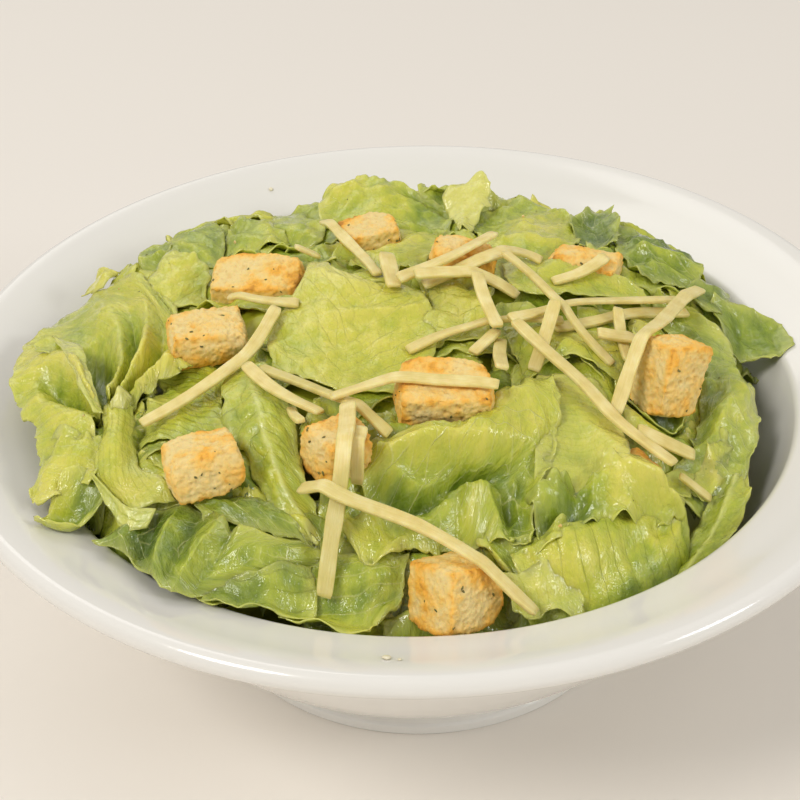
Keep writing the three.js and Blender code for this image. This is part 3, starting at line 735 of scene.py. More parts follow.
crown_leaves = [
    Leaf([[(-33, -23, 0), (-27, -28, 0.5), (-16, -33, 0), (-2, -32, -2)],
          [(-35, -12, 0.5), (-25, -14, 2), (-12, -16, 1.5), (4, -18, -1)],
          [(-31, 0, 1), (-23, -1, 3), (-12, -3, 2.5), (5, -6, 0)],
          [(-27.5, 8, 1.5), (-21, 5, 3), (-11, 3, 2.5), (3, 0, 0.5)],
          [(-24.5, 19, 3), (-19, 9.5, 2.5), (-10, 6.5, 1.5), (1, 6, 0)]],
         tone=0.78, pucker=0.25, crumple=0.3, ruffle=0.2, tear=0.35, curl=0.6, pressed=False),
    Leaf([[(2, -14, -2), (9, -14, -1), (18, -13, -1)],
          [(3, -4, 0), (10, -3, 1), (18, -4, 0)],
          [(4, 7, 0), (10, 8, 0.5), (19, 6, 0)]], tone=0.7, pucker=0.35, crumple=0.4, flat=0.25),
    Leaf([[(21, -12, -1), (22, -20, -1), (22, -30, -1.5)],
          [(29, -8, 0), (30, -15, 0.5), (29, -23, -0.5)],
          [(37, -7, 0.5), (38, -12, 1), (37, -18, 0)],
          [(44, -7, 0.5), (46, -13, 1.2), (46, -22, 0.5)],
          [(49, -8, 0), (50, -14, 0), (50, -23, -0.5)]], tone=0.55, pucker=0.45, crumple=0.5, ruffle=0.4),
    Leaf([[(44, -13, 1), (47, -12, 2), (48, -14, 1)],
          [(46, -20, 1), (48, -19, 2.5), (50, -20, 1)],
          [(47, -27, 0), (49, -26, 1), (50, -27, 0)]], tone=0.7, pucker=0.2, crumple=0.2, ruffle=0.3),
    Leaf([[(22, 20, 0), (23, 14, 0), (24, 8, -0.5)],
          [(31, 21, 1), (32, 14, 1), (32, 6, -0.5)],
          [(40, 19, 1.5), (41, 13, 1), (41, 8, -0.5)],
          [(49, 17, 1.5), (50, 13, 0.5), (50, 9, -0.5)],
          [(57, 15, 0.5), (58, 13, 0), (58, 11, -0.5)]],
         tone=0.62, pucker=0.2, crumple=0.3, ruffle=0.2, tear=0.6, pressed=False),
]
lettuce_piece("leaves_crown", crown_leaves, romaine)


# ------------------------------------------------------------------ ruffled leaf on the left
# One large outer leaf lies over the left of the bowl, gathered in deep folds towards its rib,
# which ends below in a pale trunk with three small lobes.

left_leaves = [
    Leaf([[(-72, -44, -2), (-75, -45, -1), (-79, -46, -1), (-82, -46, -0.5), (-85, -45, -1)],
          [(-73, -38, 0), (-76, -39, 1), (-79, -40, 1), (-82, -40, 0.5), (-86, -39, -0.5)],
          [(-73, -36, 0), (-76, -35, 1.5), (-80, -35, 2), (-84, -34, 1), (-88, -33, -0.5)],
          [(-73, -34.5, -1), (-77, -32, 0), (-82, -30, 1.5), (-87, -28, 1.5), (-92, -26, 0)],
          [(-72.5, -34, -2.5), (-77, -29, -4), (-83, -22, -3), (-90, -17, 0.5), (-96, -18, 0)],
          [(-72, -34, 2), (-76, -27, 3.5), (-80, -18, 3.5), (-86, -10, 2), (-97, -8, 0)],
          [(-71.5, -32, -2), (-74, -23, -4), (-77, -14, -4), (-83, -3, -1.5), (-95, 6, 0.5)],
          [(-71, -30, -1), (-72, -22, -3.5), (-74, -12, -4), (-79, 2, -1), (-90, 18, 0)],
          [(-70, -29, 2), (-69.5, -22, 2.5), (-70, -12, 1), (-74, 4, 1), (-83, 25, 0.5)],
          [(-69.5, -28, -2), (-68, -21, -3.5), (-67, -10, -3.5), (-70, 6, 0), (-77, 25, 0.5)],
          [(-68.5, -29, 2), (-66, -20, 3), (-64.5, -10, 3), (-66, 5, 2), (-71, 23, 1)],
          [(-68, -29, -2), (-64, -22, -2), (-61, -14, -2), (-61, -2, 0), (-66, 18, 0.5)],
          [(-67, -30, 1), (-62, -23, 2.5), (-58, -17, 3), (-57, -8, 1.5), (-61, 10, 0)],
          [(-66, -31, -1), (-60, -26, 0), (-55, -22, 0.5), (-53, -18, 0), (-52, -8, -1.5)]],
         tone=0.68, pucker=-0.2, crumple=0.25, ruffle=0.4, stripes=2.6, vein=0.25, fold=0.3, depth=1.5),
    Leaf([[(-88, -3, 3.5), (-85, -5, 3)],
          [(-84, -12, 4.5), (-80, -11, 4)],
          [(-80.5, -20, 5), (-76.5, -20, 4)],
          [(-77, -29, 4.5), (-73.5, -29, 3.5)],
          [(-73, -37, 3), (-71, -36, 2)]],
         tone=0.72, pucker=0.0, crumple=0.15, ruffle=0.3, flat=0.4, tear=0.5, stripes=1.6, lengthwise=True),
    Leaf([[(-94, -3, 1), (-92, -9, 1)],
          [(-89, -3, 2), (-87, -10, 1.5)],
          [(-84, -4, 2), (-82, -12, 1)]], tone=0.42, pucker=0.1, crumple=0.2, ruffle=0.3),
    Leaf([[(-86, 28, 0), (-84, 31, 1), (-82, 35, 2)],
          [(-83, 26, 0.5), (-81, 29, 2), (-79, 33, 2.5)],
          [(-80, 25, 0), (-78, 28, 1), (-76, 31, 1.5)]], tone=0.88, pucker=0.3),
    Leaf([[(-72, -27, -3), (-70, -27, -1.5), (-67, -28, -1.5), (-65, -28, -3)],
          [(-71.5, -31, -1), (-69.5, -32, 0.5), (-67, -33, 0.5), (-64.5, -33, -1.5)],
          [(-71, -38, 0.5), (-69, -39, 2.5), (-66.5, -39.5, 2.5), (-64, -39, -1)],
          [(-71, -44, 1), (-69, -46, 3), (-66, -46.5, 3), (-63.5, -44, -1)],
          [(-71, -48, 1), (-69, -50, 2.5), (-65.5, -51, 2.5), (-62, -48.5, -1)],
          [(-71, -51, 0), (-68, -54, 1.5), (-64.5, -55, 2), (-60, -53, -0.5)],
          [(-69.5, -54, -1), (-66, -57, 0.5), (-61.5, -59, 1), (-55, -57, 0)],
          [(-68, -57, -2), (-64, -60, -1), (-59, -62, -0.5), (-52, -61, -1)]],
         tone=(0.82, 0.7), pucker=0.0, crumple=0.12, ruffle=0.3, tear=0.5, stripes=1.7, lengthwise=True,
         vein=-0.35),
    Leaf([[(-69.5, -29.5, 1.5), (-67.5, -29, 3), (-65.5, -29.5, 1.5)],
          [(-69.5, -31.5, 2), (-67.5, -31, 4), (-65.5, -31.5, 2)],
          [(-69, -34, 1.5), (-67.5, -34, 2.5), (-66, -34, 1.5)]],
         tone=1.0, pucker=0.1, crumple=0.6, ruffle=1.2, tear=0.9, flat=1.0, curl=0.6),
    Leaf([[(-69.5, -43, -0.5), (-73, -41, 1), (-76, -40, 0), (-80, -39, 1), (-82.5, -38, 0)],
          [(-69.5, -47, 0), (-73, -45.5, 1), (-76.5, -46, 2), (-81, -46, 2), (-84.5, -45, 0)],
          [(-70, -51, 0), (-73.5, -49, 0), (-77, -51, 2), (-82, -52, 2), (-86.5, -50, 0)],
          [(-72, -54, -1), (-75.5, -53, -0.5), (-79, -55, 0.5), (-83, -56, 0.5), (-86.5, -53, 0)]],
         tone=(0.5, 0.78), pucker=-0.15, crumple=0.3, ruffle=0.9, stripes=2.2, vein=0.3),
    Leaf([[(-70, -49, -1), (-70, -52, -0.5), (-69, -56, -1), (-69, -59, 1)],
          [(-74, -50, 1), (-74.5, -54, 0), (-74.5, -58, -2.5), (-73.5, -61.5, 1.5)],
          [(-78, -52, 2), (-79, -56, 0), (-79.5, -59, -3), (-79, -63, 1.5)],
          [(-80.5, -55, 1.5), (-82.5, -58, 0), (-84, -60, -1.5), (-84.5, -61, 1.5)]],
         tone=(0.3, 0.64), pucker=-0.15, crumple=0.3, ruffle=0.9),
    Leaf([[(-71, -53, 1), (-70.5, -54.5, 1)],
          [(-67, -58, 2), (-68, -59.5, 1.5)],
          [(-64.5, -61, 2), (-66, -62.5, 1)],
          [(-61, -62.5, 1.5), (-63, -66, 0.5)],
          [(-56, -64, 1), (-58, -67, 0)]],
         tone=0.58, pucker=0.0, crumple=0.15, ruffle=0.2, tear=0.4, flat=0.35, stripes=1.6, lengthwise=True),
    Leaf([[(-68, 12, -0.5), (-61, 10, 0.5), (-52, 12, -1)],
          [(-67, 22, 1), (-60, 22, 2), (-52, 22, 0)],
          [(-64, 32, 2), (-60, 30, 2.5), (-54, 28, 1)]], tone=0.68, pucker=0.25, crumple=0.35, ruffle=0.4),
    Leaf([[(-63, -10, -4), (-52, -12, -3), (-42, -16, -4)],
          [(-60, -22, -3), (-50, -24, -2), (-44, -26, -3)],
          [(-62, -32, -2), (-53, -34, -1), (-43, -36, -2)],
          [(-62, -42, -3), (-54, -43, -2), (-43, -44, -3)]], tone=0.5, pucker=0.2, stripes=1.7),
]
lettuce_piece("leaves_left", left_leaves, romaine)


# ------------------------------------------------------------------ folded leaves in front
# Glossy blades folded along the front left, the long curled leaf between the two front
# croutons, and the blades low in the bowl under them, whose dark tone is painted shade.

front_leaves = [
    Leaf([[(-70, -66, 0), (-70, -66.5, 0.5), (-70, -67, 0.5), (-69.5, -67.5, 0)],
          [(-62, -63, 0), (-62.5, -66, 1), (-63, -68, 1), (-63.5, -70, 0)],
          [(-56, -61, -1), (-57, -66, -1.5), (-58.5, -70.5, -1.5), (-60, -74, 0)],
          [(-50, -62, 0), (-53, -69, 2), (-55.5, -75, 2), (-56, -79.5, 0.5)],
          [(-46, -64, -1), (-49, -71, -0.5), (-52, -78, 0), (-53.5, -83, 0.5)],
          [(-41, -70, 1.5), (-45, -75, 2.5), (-49, -80.5, 2), (-51, -84, 0)],
          [(-39.5, -71, 0), (-42, -76, 0), (-45, -80, 0), (-47, -84, -0.5)],
          [(-38, -71, 1), (-39, -75, 1), (-40, -79, 0.5), (-41, -81, -1)],
          [(-30, -72, 0.5), (-30.5, -74.5, 1.5), (-31, -77, 1), (-31, -79, -1)],
          [(-21, -70, 0), (-21, -72, 1), (-21, -73.5, 0.5), (-21, -75, -1)]],
         tone=(0.2, 0.5), pucker=-0.3, crumple=0.16, ruffle=0.15, fold=0.95, tear=0.3, depth=1.9, curl=0.6),
    # A blade low under the folded one, given a dark tone as painted shade.
    Leaf([[(-50, -58, -1), (-48, -63, 0), (-45, -69, -0.5)],
          [(-41, -60, -1), (-39, -65, 0.5), (-37, -70, 0)],
          [(-29, -62, -1.5), (-28, -67, 0.5), (-27, -71, 0)],
          [(-18, -65, -2), (-18, -69, -1), (-17, -72, -1.5)]],
         tone=0.2, pucker=-0.3, crumple=0.5, ruffle=0.4),
    Leaf([[(-46, -79, -1.5), (-45.5, -81, -1.5), (-45, -83, -1), (-45, -85, -1)],
          [(-36, -78, -1), (-37, -81, -0.5), (-37, -84, -0.5), (-37, -86.5, 0)],
          [(-29, -76, -1), (-29, -79, 0), (-29.5, -83, -0.5), (-30, -86.5, 0.5)],
          [(-22, -75, -1), (-22, -78, 0), (-22, -82, -1), (-23, -86, -0.5)]],
         tone=0.24, pucker=0.1, crumple=0.3, ruffle=0.4, stripes=3.2, lengthwise=True),
    Leaf([[(-27, -76, -0.5), (-27, -79, 0), (-27.5, -82, 0), (-30, -86, 1.5)],
          [(-22, -74, 0), (-22, -78, 1.5), (-22.5, -82, 0), (-23, -87.5, 2.5)],
          [(-17, -72, 0), (-17, -77, 2), (-17, -82, 0), (-17.5, -89, 2.5)],
          [(-12, -71, 0), (-12, -76, 2), (-12.5, -81, 0.5), (-12, -88.5, 2)],
          [(-7, -70, -0.5), (-7, -75, 1), (-8, -79, 0), (-8.5, -84.5, 1)],
          [(-2, -71, -2), (-2.5, -75, -1.5), (-3, -78, -2), (-5, -81, -2)]],
         tone=(0.36, 0.54), pucker=0.1, crumple=0.3, ruffle=0.5, stripes=3.2, lengthwise=True, vein=0.4),
    Leaf([[(-45, -21, 0), (-41, -21, 1), (-37, -22, 1), (-34, -25, 0)],
          [(-44, -32, 1), (-40, -32, 2.5), (-35, -33, 2.5), (-30, -36, 0.5)],
          [(-42, -42, 0), (-37, -43, 2.5), (-32, -44, 3), (-27, -46, 1)],
          [(-38, -50, -0.5), (-34, -51, 2), (-30, -52, 2.5), (-26, -52, 0)],
          [(-34, -58, -1), (-31, -59, 1.5), (-28, -59, 1.5), (-24, -58, 0.5)],
          [(-29, -65, -1), (-27, -66, 1), (-24, -66, 1), (-21, -64, 0)],
          [(-24, -70, -1), (-23, -71, 0), (-22, -71, 0), (-20, -69, -0.5)]],
         tone=0.58, pucker=0.4, crumple=0.45, ruffle=0.5, rib=1.2),
    Leaf([[(-17, -66, -1), (-16, -68, 0), (-15, -70, 0.5)],
          [(-12, -65, -0.5), (-12, -70, 1), (-12, -74, 0.5)],
          [(-7, -65, -0.5), (-7, -70, 0.5), (-7, -74, 1.5)],
          [(-2, -65, -1), (-2, -69, 0.5), (-2, -71, 1)],
          [(4, -65, -1.5), (4, -68, -0.5), (5, -70, -0.5)]], tone=0.6, pucker=0.25, crumple=0.4, ruffle=1.2),
    # The blade lowest in the bowl at the front, given a dark tone as painted shade.
    Leaf([[(-8, -80, -5), (-8, -85, -6), (-8, -90, -7)],
          [(5, -80, -6), (5, -86, -7), (5, -90, -8)],
          [(18, -78, -6), (19, -84, -7), (19, -88, -8)],
          [(30, -76, -6), (31, -80, -7), (31, -84, -8)]], tone=0.22, pucker=0.2, crumple=0.3),
]
lettuce_piece("leaves_front", front_leaves, romaine)


# ------------------------------------------------------------------ crumpled leaves on the right
# A crumpled glossy blade, the flat juicy rib beside it, a blade rolled over itself with its
# cut rib showing, and the big pale leaf that curls round the right of the bowl.

right_leaves = [
    Leaf([[(-13, -50, 0.5), (-5, -47.5, 1.5), (2, -48, 1.5), (9, -47, 1.5),
           (17, -38, 1), (25, -30, 1), (31, -26, 0.5)],
          [(-13, -53, 1), (-5, -51.5, 3.5), (2, -51.5, 4), (9, -51, 4),
           (18, -50, 4), (26, -43, 3.5), (32.5, -33, 2)],
          [(-13, -55, 1), (-5, -55, 1), (2, -55, 0.5), (9, -54, 1),
           (18, -53, 2), (26, -48, 3), (32, -40, 2.5)],
          [(-13, -58, 0.5), (-5, -59, -2.5), (1, -59, -3), (7, -56, -2.5),
           (15, -54, -2), (21, -55, 0), (30, -49, 2.5)],
          [(-12, -60, 0), (-4, -62, -1), (3, -61, 1), (9, -59, 2.5),
           (15, -58, 2.5), (19.5, -59, -2), (27, -56, 3)],
          [(-11, -62, -0.5), (-4, -64, 0), (4, -64, 2), (10, -64, 3),
           (16, -62, 2), (20, -62, -2.5), (25.5, -61, 2.5)],
          [(-11, -65, -1), (-3, -66, 0), (4, -67, 1.5), (11, -67.5, 2),
           (17, -66, 1), (20.5, -66, -1.5), (25, -65, 1.5)],
          [(-10, -67, -1.5), (-3, -68, -0.5), (4, -69, 0.5), (11, -69, 0.5),
           (17, -69, 0.5), (20.5, -70, 0), (24, -70, 1)]],
         tone=0.52, pucker=-0.3, crumple=0.85, ruffle=0.9, fold=0.3, depth=1.35),
    Leaf([[(28, -24, 0.3), (35, -23, 0.5), (42, -23, 0.5)],
          [(27, -34, 0.5), (36, -33, 1), (45.5, -34, 1)],
          [(26, -45, 0.5), (37, -43, 1.8), (47, -43.5, 10.5)],
          [(25, -60, -1), (35, -58, 0.5), (46, -55, 6)]],
         tone=(0.84, 0.7), pucker=0.05, crumple=0.2, ruffle=0.2, tear=0.4, flat=0.35, stripes=1.7, vein=-0.15,
         curl=0.3, pressed=False),
    Leaf([[(12, -65, -2), (13, -68, -1), (14.5, -71, 1)],
          [(17, -66, -2), (17, -70, -1), (17.5, -73.5, 1.5)],
          [(21, -67, -1.5), (21.5, -71, -0.5), (21, -74, 1)],
          [(25, -66, -1), (25.5, -69, 0), (26, -72, 1)],
          [(29, -65, -1), (29.5, -68, 0.5), (30, -70, 1)],
          [(31.5, -63, -1), (32, -65, 0.5), (32, -66, 0)]], tone=0.56, pucker=0.15, crumple=0.6, ruffle=1.7),
    Leaf([[(20, -70, -1), (20, -73, 2), (21, -77, 1.5), (23, -81, -4)],
          [(28, -67, 1), (29, -71, 4), (30, -76, 3.5), (31, -82, -4)],
          [(36, -63, 1.5), (38, -67, 5), (39, -73, 4.5), (40, -80, -4)],
          [(44, -58, 2), (46, -62, 5.5), (48, -68, 4.5), (48, -76, -4)],
          [(51, -53, 2), (54, -56, 5), (55, -62, 4), (55, -69, -4)],
          [(57, -48, 1.5), (59, -51, 3), (60, -55, 2), (60, -61, -4)]],
         tone=0.5, pucker=0.1, crumple=0.3, ruffle=0.4, stripes=4.6, curl=0.4, vein=-0.75, swell=0.2),
    Leaf([[(17, -76, 2), (18, -79, 3), (19, -82, 0)],
          [(22, -75, 3), (23, -79, 4.5), (24, -83, 0)],
          [(27, -74, 3.5), (28, -78.5, 4), (28, -82, 1)],
          [(33, -73, 0), (34, -78, 0), (34, -82, -2)]],
         tone=0.66, pucker=0.0, crumple=0.3, ruffle=0.6, flat=0.4, stripes=2.4, vein=-0.3),
    Leaf([[(24, -61, 0), (24.5, -63.5, 2), (24.5, -66, 0), (25, -69, 0.5)],
          [(29, -58, 1), (30, -61, 3.5), (31, -64, 0.5), (31.5, -67, 1)],
          [(34, -55.5, 1), (35.5, -58, 3.5), (37, -61, 1), (38, -64, 2)],
          [(39, -53, 5), (41, -55.5, 7.5), (42, -59, 4), (43.5, -61.5, 3)],
          [(44, -50, 9.5), (46, -53.5, 11), (47.5, -57, 6), (49, -60, 4)],
          [(50, -48, 10), (52, -51.5, 11.5), (54, -55, 7), (55, -58, 4)],
          [(55.5, -48, 6), (57.5, -50, 7.5), (59, -53, 4), (59.5, -55, 2.5)]],
         tone=(0.5, 0.66), pucker=0.15, crumple=1.0, ruffle=2.2, curl=1.0, pressed=False),
    Leaf([[(50, -45, 2.5), (51, -47, 3)],
          [(54, -44, 3), (55, -48, 4)],
          [(59, -42, 3), (59, -49, 4)],
          [(63, -41, 2.5), (62, -47, 3)]], tone=0.56, pucker=0.1, crumple=0.2, ruffle=1.0, pressed=False),
    Leaf([[(61, -45, 2), (63, -47, 2.5), (65, -47, 2)],
          [(63.5, -40, 2.5), (66, -42, 3.5), (68.5, -43, 2)],
          [(67, -34, 2.5), (69, -36, 3.5), (71.5, -37, 2)],
          [(70.5, -29, 2), (72, -29.5, 2.5), (74, -30, 1.5)]],
         tone=0.66, pucker=0.1, crumple=0.2, ruffle=0.8, pressed=False),
    Leaf([[(60, 18, -1), (63, 17, 0.5), (65, 16, 1), (67, 15, 1)],
          [(62, 8, -1), (66, 9, 1), (70, 10, 2), (73, 11, 1.5)],
          [(66, -1, -2), (71, 1, 1), (75, 4, 2.5), (77.5, 7, 2)],
          [(68, -10, -3), (73, -8, 0), (78, -6, 2.5), (80.5, -3, 2)],
          [(67, -20, -4), (72, -18, -1), (78, -16, 2), (82, -13, 2)],
          [(64, -30, -4), (70, -28, 0), (76, -26, 2), (80.5, -24, 1.5)],
          [(60, -39, -2), (67, -38, 1.5), (74, -36, 1.5), (78, -33, 1)],
          [(57, -46, -2), (63, -46, 1), (70, -44, 1), (74.5, -40, 0.5)]],
         tone=0.4, pucker=-0.25, crumple=0.7, ruffle=1.0, flat=0.15),
    Leaf([[(70, -40, -1), (74, -38, 1), (77, -35, 0)],
          [(65, -48, -1), (70, -46, 1.5), (75, -44, 0)],
          [(61, -55, -2), (67, -53, 1), (72, -51, -1)],
          [(57, -61, -3), (62, -60, 0), (67, -58, -2)],
          [(53, -66, -4), (57, -66, -2), (61, -64, -3)]],
         tone=0.5, pucker=0.2, crumple=0.4, ruffle=0.7, rib=1.0),
    Leaf([[(49, -22, -2), (50, -27, -4), (52, -31, -3)],
          [(56, -21, -1.5), (57, -27, -5), (58, -32, -3)],
          [(62, -22, 0), (62, -27, -2), (62, -31, -1)]], tone=0.35, pucker=0.2),
]
lettuce_piece("leaves_right", right_leaves, romaine)


# ------------------------------------------------------------------ darker leaves at the back
# Greener outer leaves stand up along the back, and one lies out on the flange at the right;
# a small pale frond from the heart shows between them.

back_leaves = [
    Leaf([[(43, 40, -1.5), (48, 38, -1.5), (54, 38, -1.5)],
          [(42, 50, 0), (48, 50, 0.5), (55, 50, 0)],
          [(44, 56, 0.5), (49, 58, 1), (54, 60, 1)]], tone=0.12, pucker=-0.25, crumple=0.7),
    Leaf([[(54, 50, 0), (53, 40, 0), (54, 30, 0), (57, 19, -1)],
          [(61, 48, -0.5), (60, 38, 1), (61, 28, 1), (63, 20, -1)],
          [(68, 43, -1.5), (67, 35, 1), (67, 28, 1), (69, 22, -1)],
          [(75, 38, -1.5), (75, 33, 0.5), (74, 28, 0.5), (73, 24, -1)]],
         tone=0.18, pucker=-0.25, crumple=0.9, ruffle=1.0, fold=0.2, depth=1.2),
    Leaf([[(67, 24, -1), (68, 20, -0.5), (71, 16, -1)],
          [(74, 27, 1), (74, 22, 1.5), (76, 17, 0)],
          [(82, 28, 0), (82, 24, 1), (81, 20, -0.5)]], tone=0.26, pucker=0.2, crumple=0.7),
    Leaf([[(76, 22, -1.5), (77, 16, -1), (79, 8, -1.5)],
          [(83, 22, 0), (84, 15, 1), (84, 7, 0)],
          [(89, 21, 1), (90, 15, 1.5), (89, 6, 0.5)],
          [(94, 18, 1), (95, 14, 1.5), (95, 10, 1)]], tone=0.32, pucker=0.15, ruffle=0.8),
    Leaf([[(20, 30, -2), (27, 27, -1), (34, 25, -0.5), (40, 30, -1)],
          [(17, 40, -1), (26, 38, 1.5), (35, 38, 2), (43, 40, 0)],
          [(15, 50, -1), (25, 50, 1), (36, 50, 1.5), (45, 48, -0.5)],
          [(17, 57, -1.5), (25, 60, 0.5), (36, 60, 0.5), (44, 54, -1)],
          [(21, 60, -2), (28, 65, -0.5), (35, 65, -0.5), (41, 60, -1.5)]],
         tone=0.56, pucker=0.15, crumple=0.5, ruffle=0.6, tear=0.5),
    Leaf([[(12, 43, -0.5), (13.5, 43, 0.5), (15.5, 43, -0.5)],
          [(11, 50, 0), (13.5, 50, 1.5), (16.5, 49, 0.5)],
          [(8.5, 57, 1.5), (13, 57, 2.5), (18.5, 55, 2)],
          [(9, 61, 2.5), (15, 61, 4), (21, 57, 3)],
          [(13, 64, 4), (18, 65, 6), (21.5, 62, 5.5)]],
         tone=1.0, pucker=0.1, crumple=0.5, ruffle=1.0, tear=1.2, flat=0.7, curl=0.6),
    Leaf([[(-24, 50, -1), (-12, 52, -1), (0, 52, -1), (10, 48, -2)],
          [(-26, 60, 1), (-14, 62, 1.5), (-1, 60, 0), (11, 55, -1.5)],
          [(-25, 68, 2), (-14, 69, 2), (-2, 66, -0.5), (10, 59, -2)],
          [(-22, 73, 5), (-14, 72, 3), (-4, 69, 0), (7, 63, -2)]],
         tone=0.54, pucker=0.15, crumple=0.5, ruffle=0.8, tear=0.6),
    Leaf([[(-17, 21, -2), (-9, 19.5, -1.5), (-3, 19, -1.5), (3, 21, -2)],
          [(-15, 27, -0.5), (-8, 26, 0.5), (-2, 26, 0.5), (4, 27, -0.5)],
          [(-8, 36, -0.5), (-4, 36, 1.5), (1, 36, 1.5), (6, 35, 0)],
          [(-7, 44, -1), (-3, 45, 0), (2, 45, 0), (7, 43, -1)]],
         tone=0.66, pucker=0.15, crumple=0.4, ruffle=0.4, tear=0.5),
    Leaf([[(-70, 30, -1), (-66, 28, 0), (-63, 26, -1)],
          [(-73, 38, 1), (-69, 38, 1.5), (-64, 36, 0)],
          [(-74, 46, 1.5), (-70, 47, 2.5), (-65, 45, 0.5)]], tone=0.32, pucker=0.12, ruffle=0.6, tear=0.5),
    Leaf([[(-62, 32, -1), (-57, 30, 0), (-51, 30, -1)],
          [(-65, 42, -0.5), (-58, 41, 1), (-50, 40, -1)],
          [(-65, 49, -1.5), (-58, 51, 0.5), (-51, 48, -0.5)],
          [(-62, 54, -1.5), (-57, 56, -0.5), (-52, 52, -1)]],
         tone=0.38, pucker=0.12, crumple=0.4, ruffle=0.5, tear=0.4),
    Leaf([[(-50, 38, -1), (-42, 38, -0.5), (-33, 38, -1)],
          [(-50, 46, 0), (-42, 47, 1), (-34, 47, 0)],
          [(-50, 53, 0), (-43, 55, 1), (-35, 55, 0)]], tone=0.46, pucker=0.12, tear=0.6),
    Leaf([[(-38, 42, -1), (-31, 40, -0.5), (-24, 42, -1)],
          [(-39, 52, 0), (-32, 52, 1.5), (-24, 52, 0)],
          [(-38, 61, 0), (-32, 63, 1.5), (-24, 63, 0.5)],
          [(-35, 66, 0), (-30, 68, 1.5), (-24, 68, 1)]], tone=0.46, pucker=0.12, ruffle=0.7, tear=0.5),
]
lettuce_piece("leaves_back", back_leaves, romaine)


# ------------------------------------------------------------------ leaves underneath
# Smaller torn leaves fill the heap under and between the large ones, and others hang down its
# sides into the bowl all round. They keep below every leaf that lies on them.

UNDER_STEP = 0.9
LAYER_SLOPE = 1.2
LAYER_GAP = 0.3
SIDE_RADII = np.arange(60, 110)
TORN_CUP = (-1.5, 2.0)
TORN_BOW = (-1.5, 1.5)
TORN_TAPER = 0.25
TORN_JITTER = 2
TORN_LIFT_JITTER = 0.8
EDGE_COUNT = 24
EDGE_INSET = 14.0
EDGE_UNDER = 3
EDGE_LEAF = {"twist": 0.5, "longs": (22, 27), "wides": (22, 28), "lifts": (-1.5, 0.3)}
HANGING_COUNT = 32
HANGING_ROWS = [(16.0, -3.0), (9.0, -3.5), (4.0, -5.5), (1.0, -10.0), (-0.5, -16.0)]
HANGING_ACROSS = np.array([-0.5, -0.17, 0.17, 0.5])
HANGING_INSETS = (1.5, 4.0)
HANGING_WIDTHS = (17, 33)
HANGING_TILT = 0.25
HANGING_JITTER = 1.2
HANGING_UNDER = 5
HANGING_ROUND = (-0.24, -0.12, 0, 0.12, 0.24)
BACK_FROM = 0.35
INNER_RINGS = [(0.0, 1), (0.26, 5), (0.48, 9), (0.68, 13)]
INNER_STAGGER = 9
INNER_LEAF = {"twist": 0.9, "longs": (26, 36), "wides": (20, 28), "lifts": (-2.5, -1.0)}


def covered_map(leaves):
    """A map of how low the given leaves hang where they cover the heap."""
    grid = np.full(lettuce_top.shape, NOTHING)
    for leaf in leaves:
        low = leaf.points[len(leaf.points) // 2:]
        cells = np.rint((low[:, 1::-1] + MAP_REACH) / MAP_CELL).astype(int)
        np.minimum.at(grid, (cells[:, 0], cells[:, 1]), low[:, 2] - LAYER_GAP)
    return grid


def heap_reach(azimuth):
    """How far out the heap lies in one direction, in millimetres."""
    rows = np.rint((SIDE_RADII * math.sin(azimuth) + MAP_REACH) / MAP_CELL).astype(int)
    columns = np.rint((SIDE_RADII * math.cos(azimuth) + MAP_REACH) / MAP_CELL).astype(int)
    return SIDE_RADII[~np.isnan(lettuce_top[rows, columns])].max()


def laid_reach(azimuth):
    """How far out the laid leaves hide what is under them in one direction, in millimetres."""
    x, y = SIDE_RADII * math.cos(azimuth), SIDE_RADII * math.sin(azimuth)
    covered = read_map(laid_map, x, y) < NOTHING / 2
    return SIDE_RADII[covered].max() if covered.any() else SIDE_RADII[-1]


def torn_piece(radius, azimuth, rng, twist, longs, wides, lifts):
    """Rows for a leaf of chance size, turned, bent and cupped by chance, at a place on the heap."""
    turn = azimuth + rng.uniform(-twist, twist)
    long, wide, lift = rng.uniform(*longs), rng.uniform(*wides), rng.uniform(*lifts)
    cup, bow = rng.uniform(*TORN_CUP), rng.uniform(*TORN_BOW)
    x, y = radius * math.cos(azimuth), radius * math.sin(azimuth)
    rows = []
    for v in np.linspace(-1, 1, 4):
        row = []
        for u in (-1, 0, 1):
            along = v * long / 2 + rng.uniform(-TORN_JITTER, TORN_JITTER)
            across = u * wide / 2 * (1 - TORN_TAPER * v * v) + rng.uniform(-TORN_JITTER, TORN_JITTER)
            row.append((
                x + along * math.cos(turn) - across * math.sin(turn),
                y + along * math.sin(turn) + across * math.cos(turn),
                lift + cup * u * u + bow * v * v + rng.uniform(-TORN_LIFT_JITTER, TORN_LIFT_JITTER),
            ))
        rows.append(row)
    return rows


def hanging_piece(azimuth, rng):
    """Rows for a leaf that bends over the side of the heap and hangs down into the bowl."""
    outer = heap_reach(azimuth) - rng.uniform(*HANGING_INSETS)
    if math.sin(azimuth) <= BACK_FROM:
        outer = min([outer] + [laid_reach(azimuth + turn) - HANGING_UNDER for turn in HANGING_ROUND])
    tilt, width = rng.uniform(-HANGING_TILT, HANGING_TILT), rng.uniform(*HANGING_WIDTHS)
    drop, long = rng.uniform(0.5, 1.1), rng.uniform(0.8, 1.3)
    rows = []
    for back, lift in HANGING_ROWS:
        radius = outer - back * long
        turns = azimuth + tilt * (1 - back / HANGING_ROWS[0][0]) + width / radius * HANGING_ACROSS
        row = []
        for turn in turns:
            x, y = radius * math.cos(turn), radius * math.sin(turn)
            row.append((x, y, lift * drop + rng.uniform(-HANGING_JITTER, HANGING_JITTER)))
        rows.append(row)
    return rows


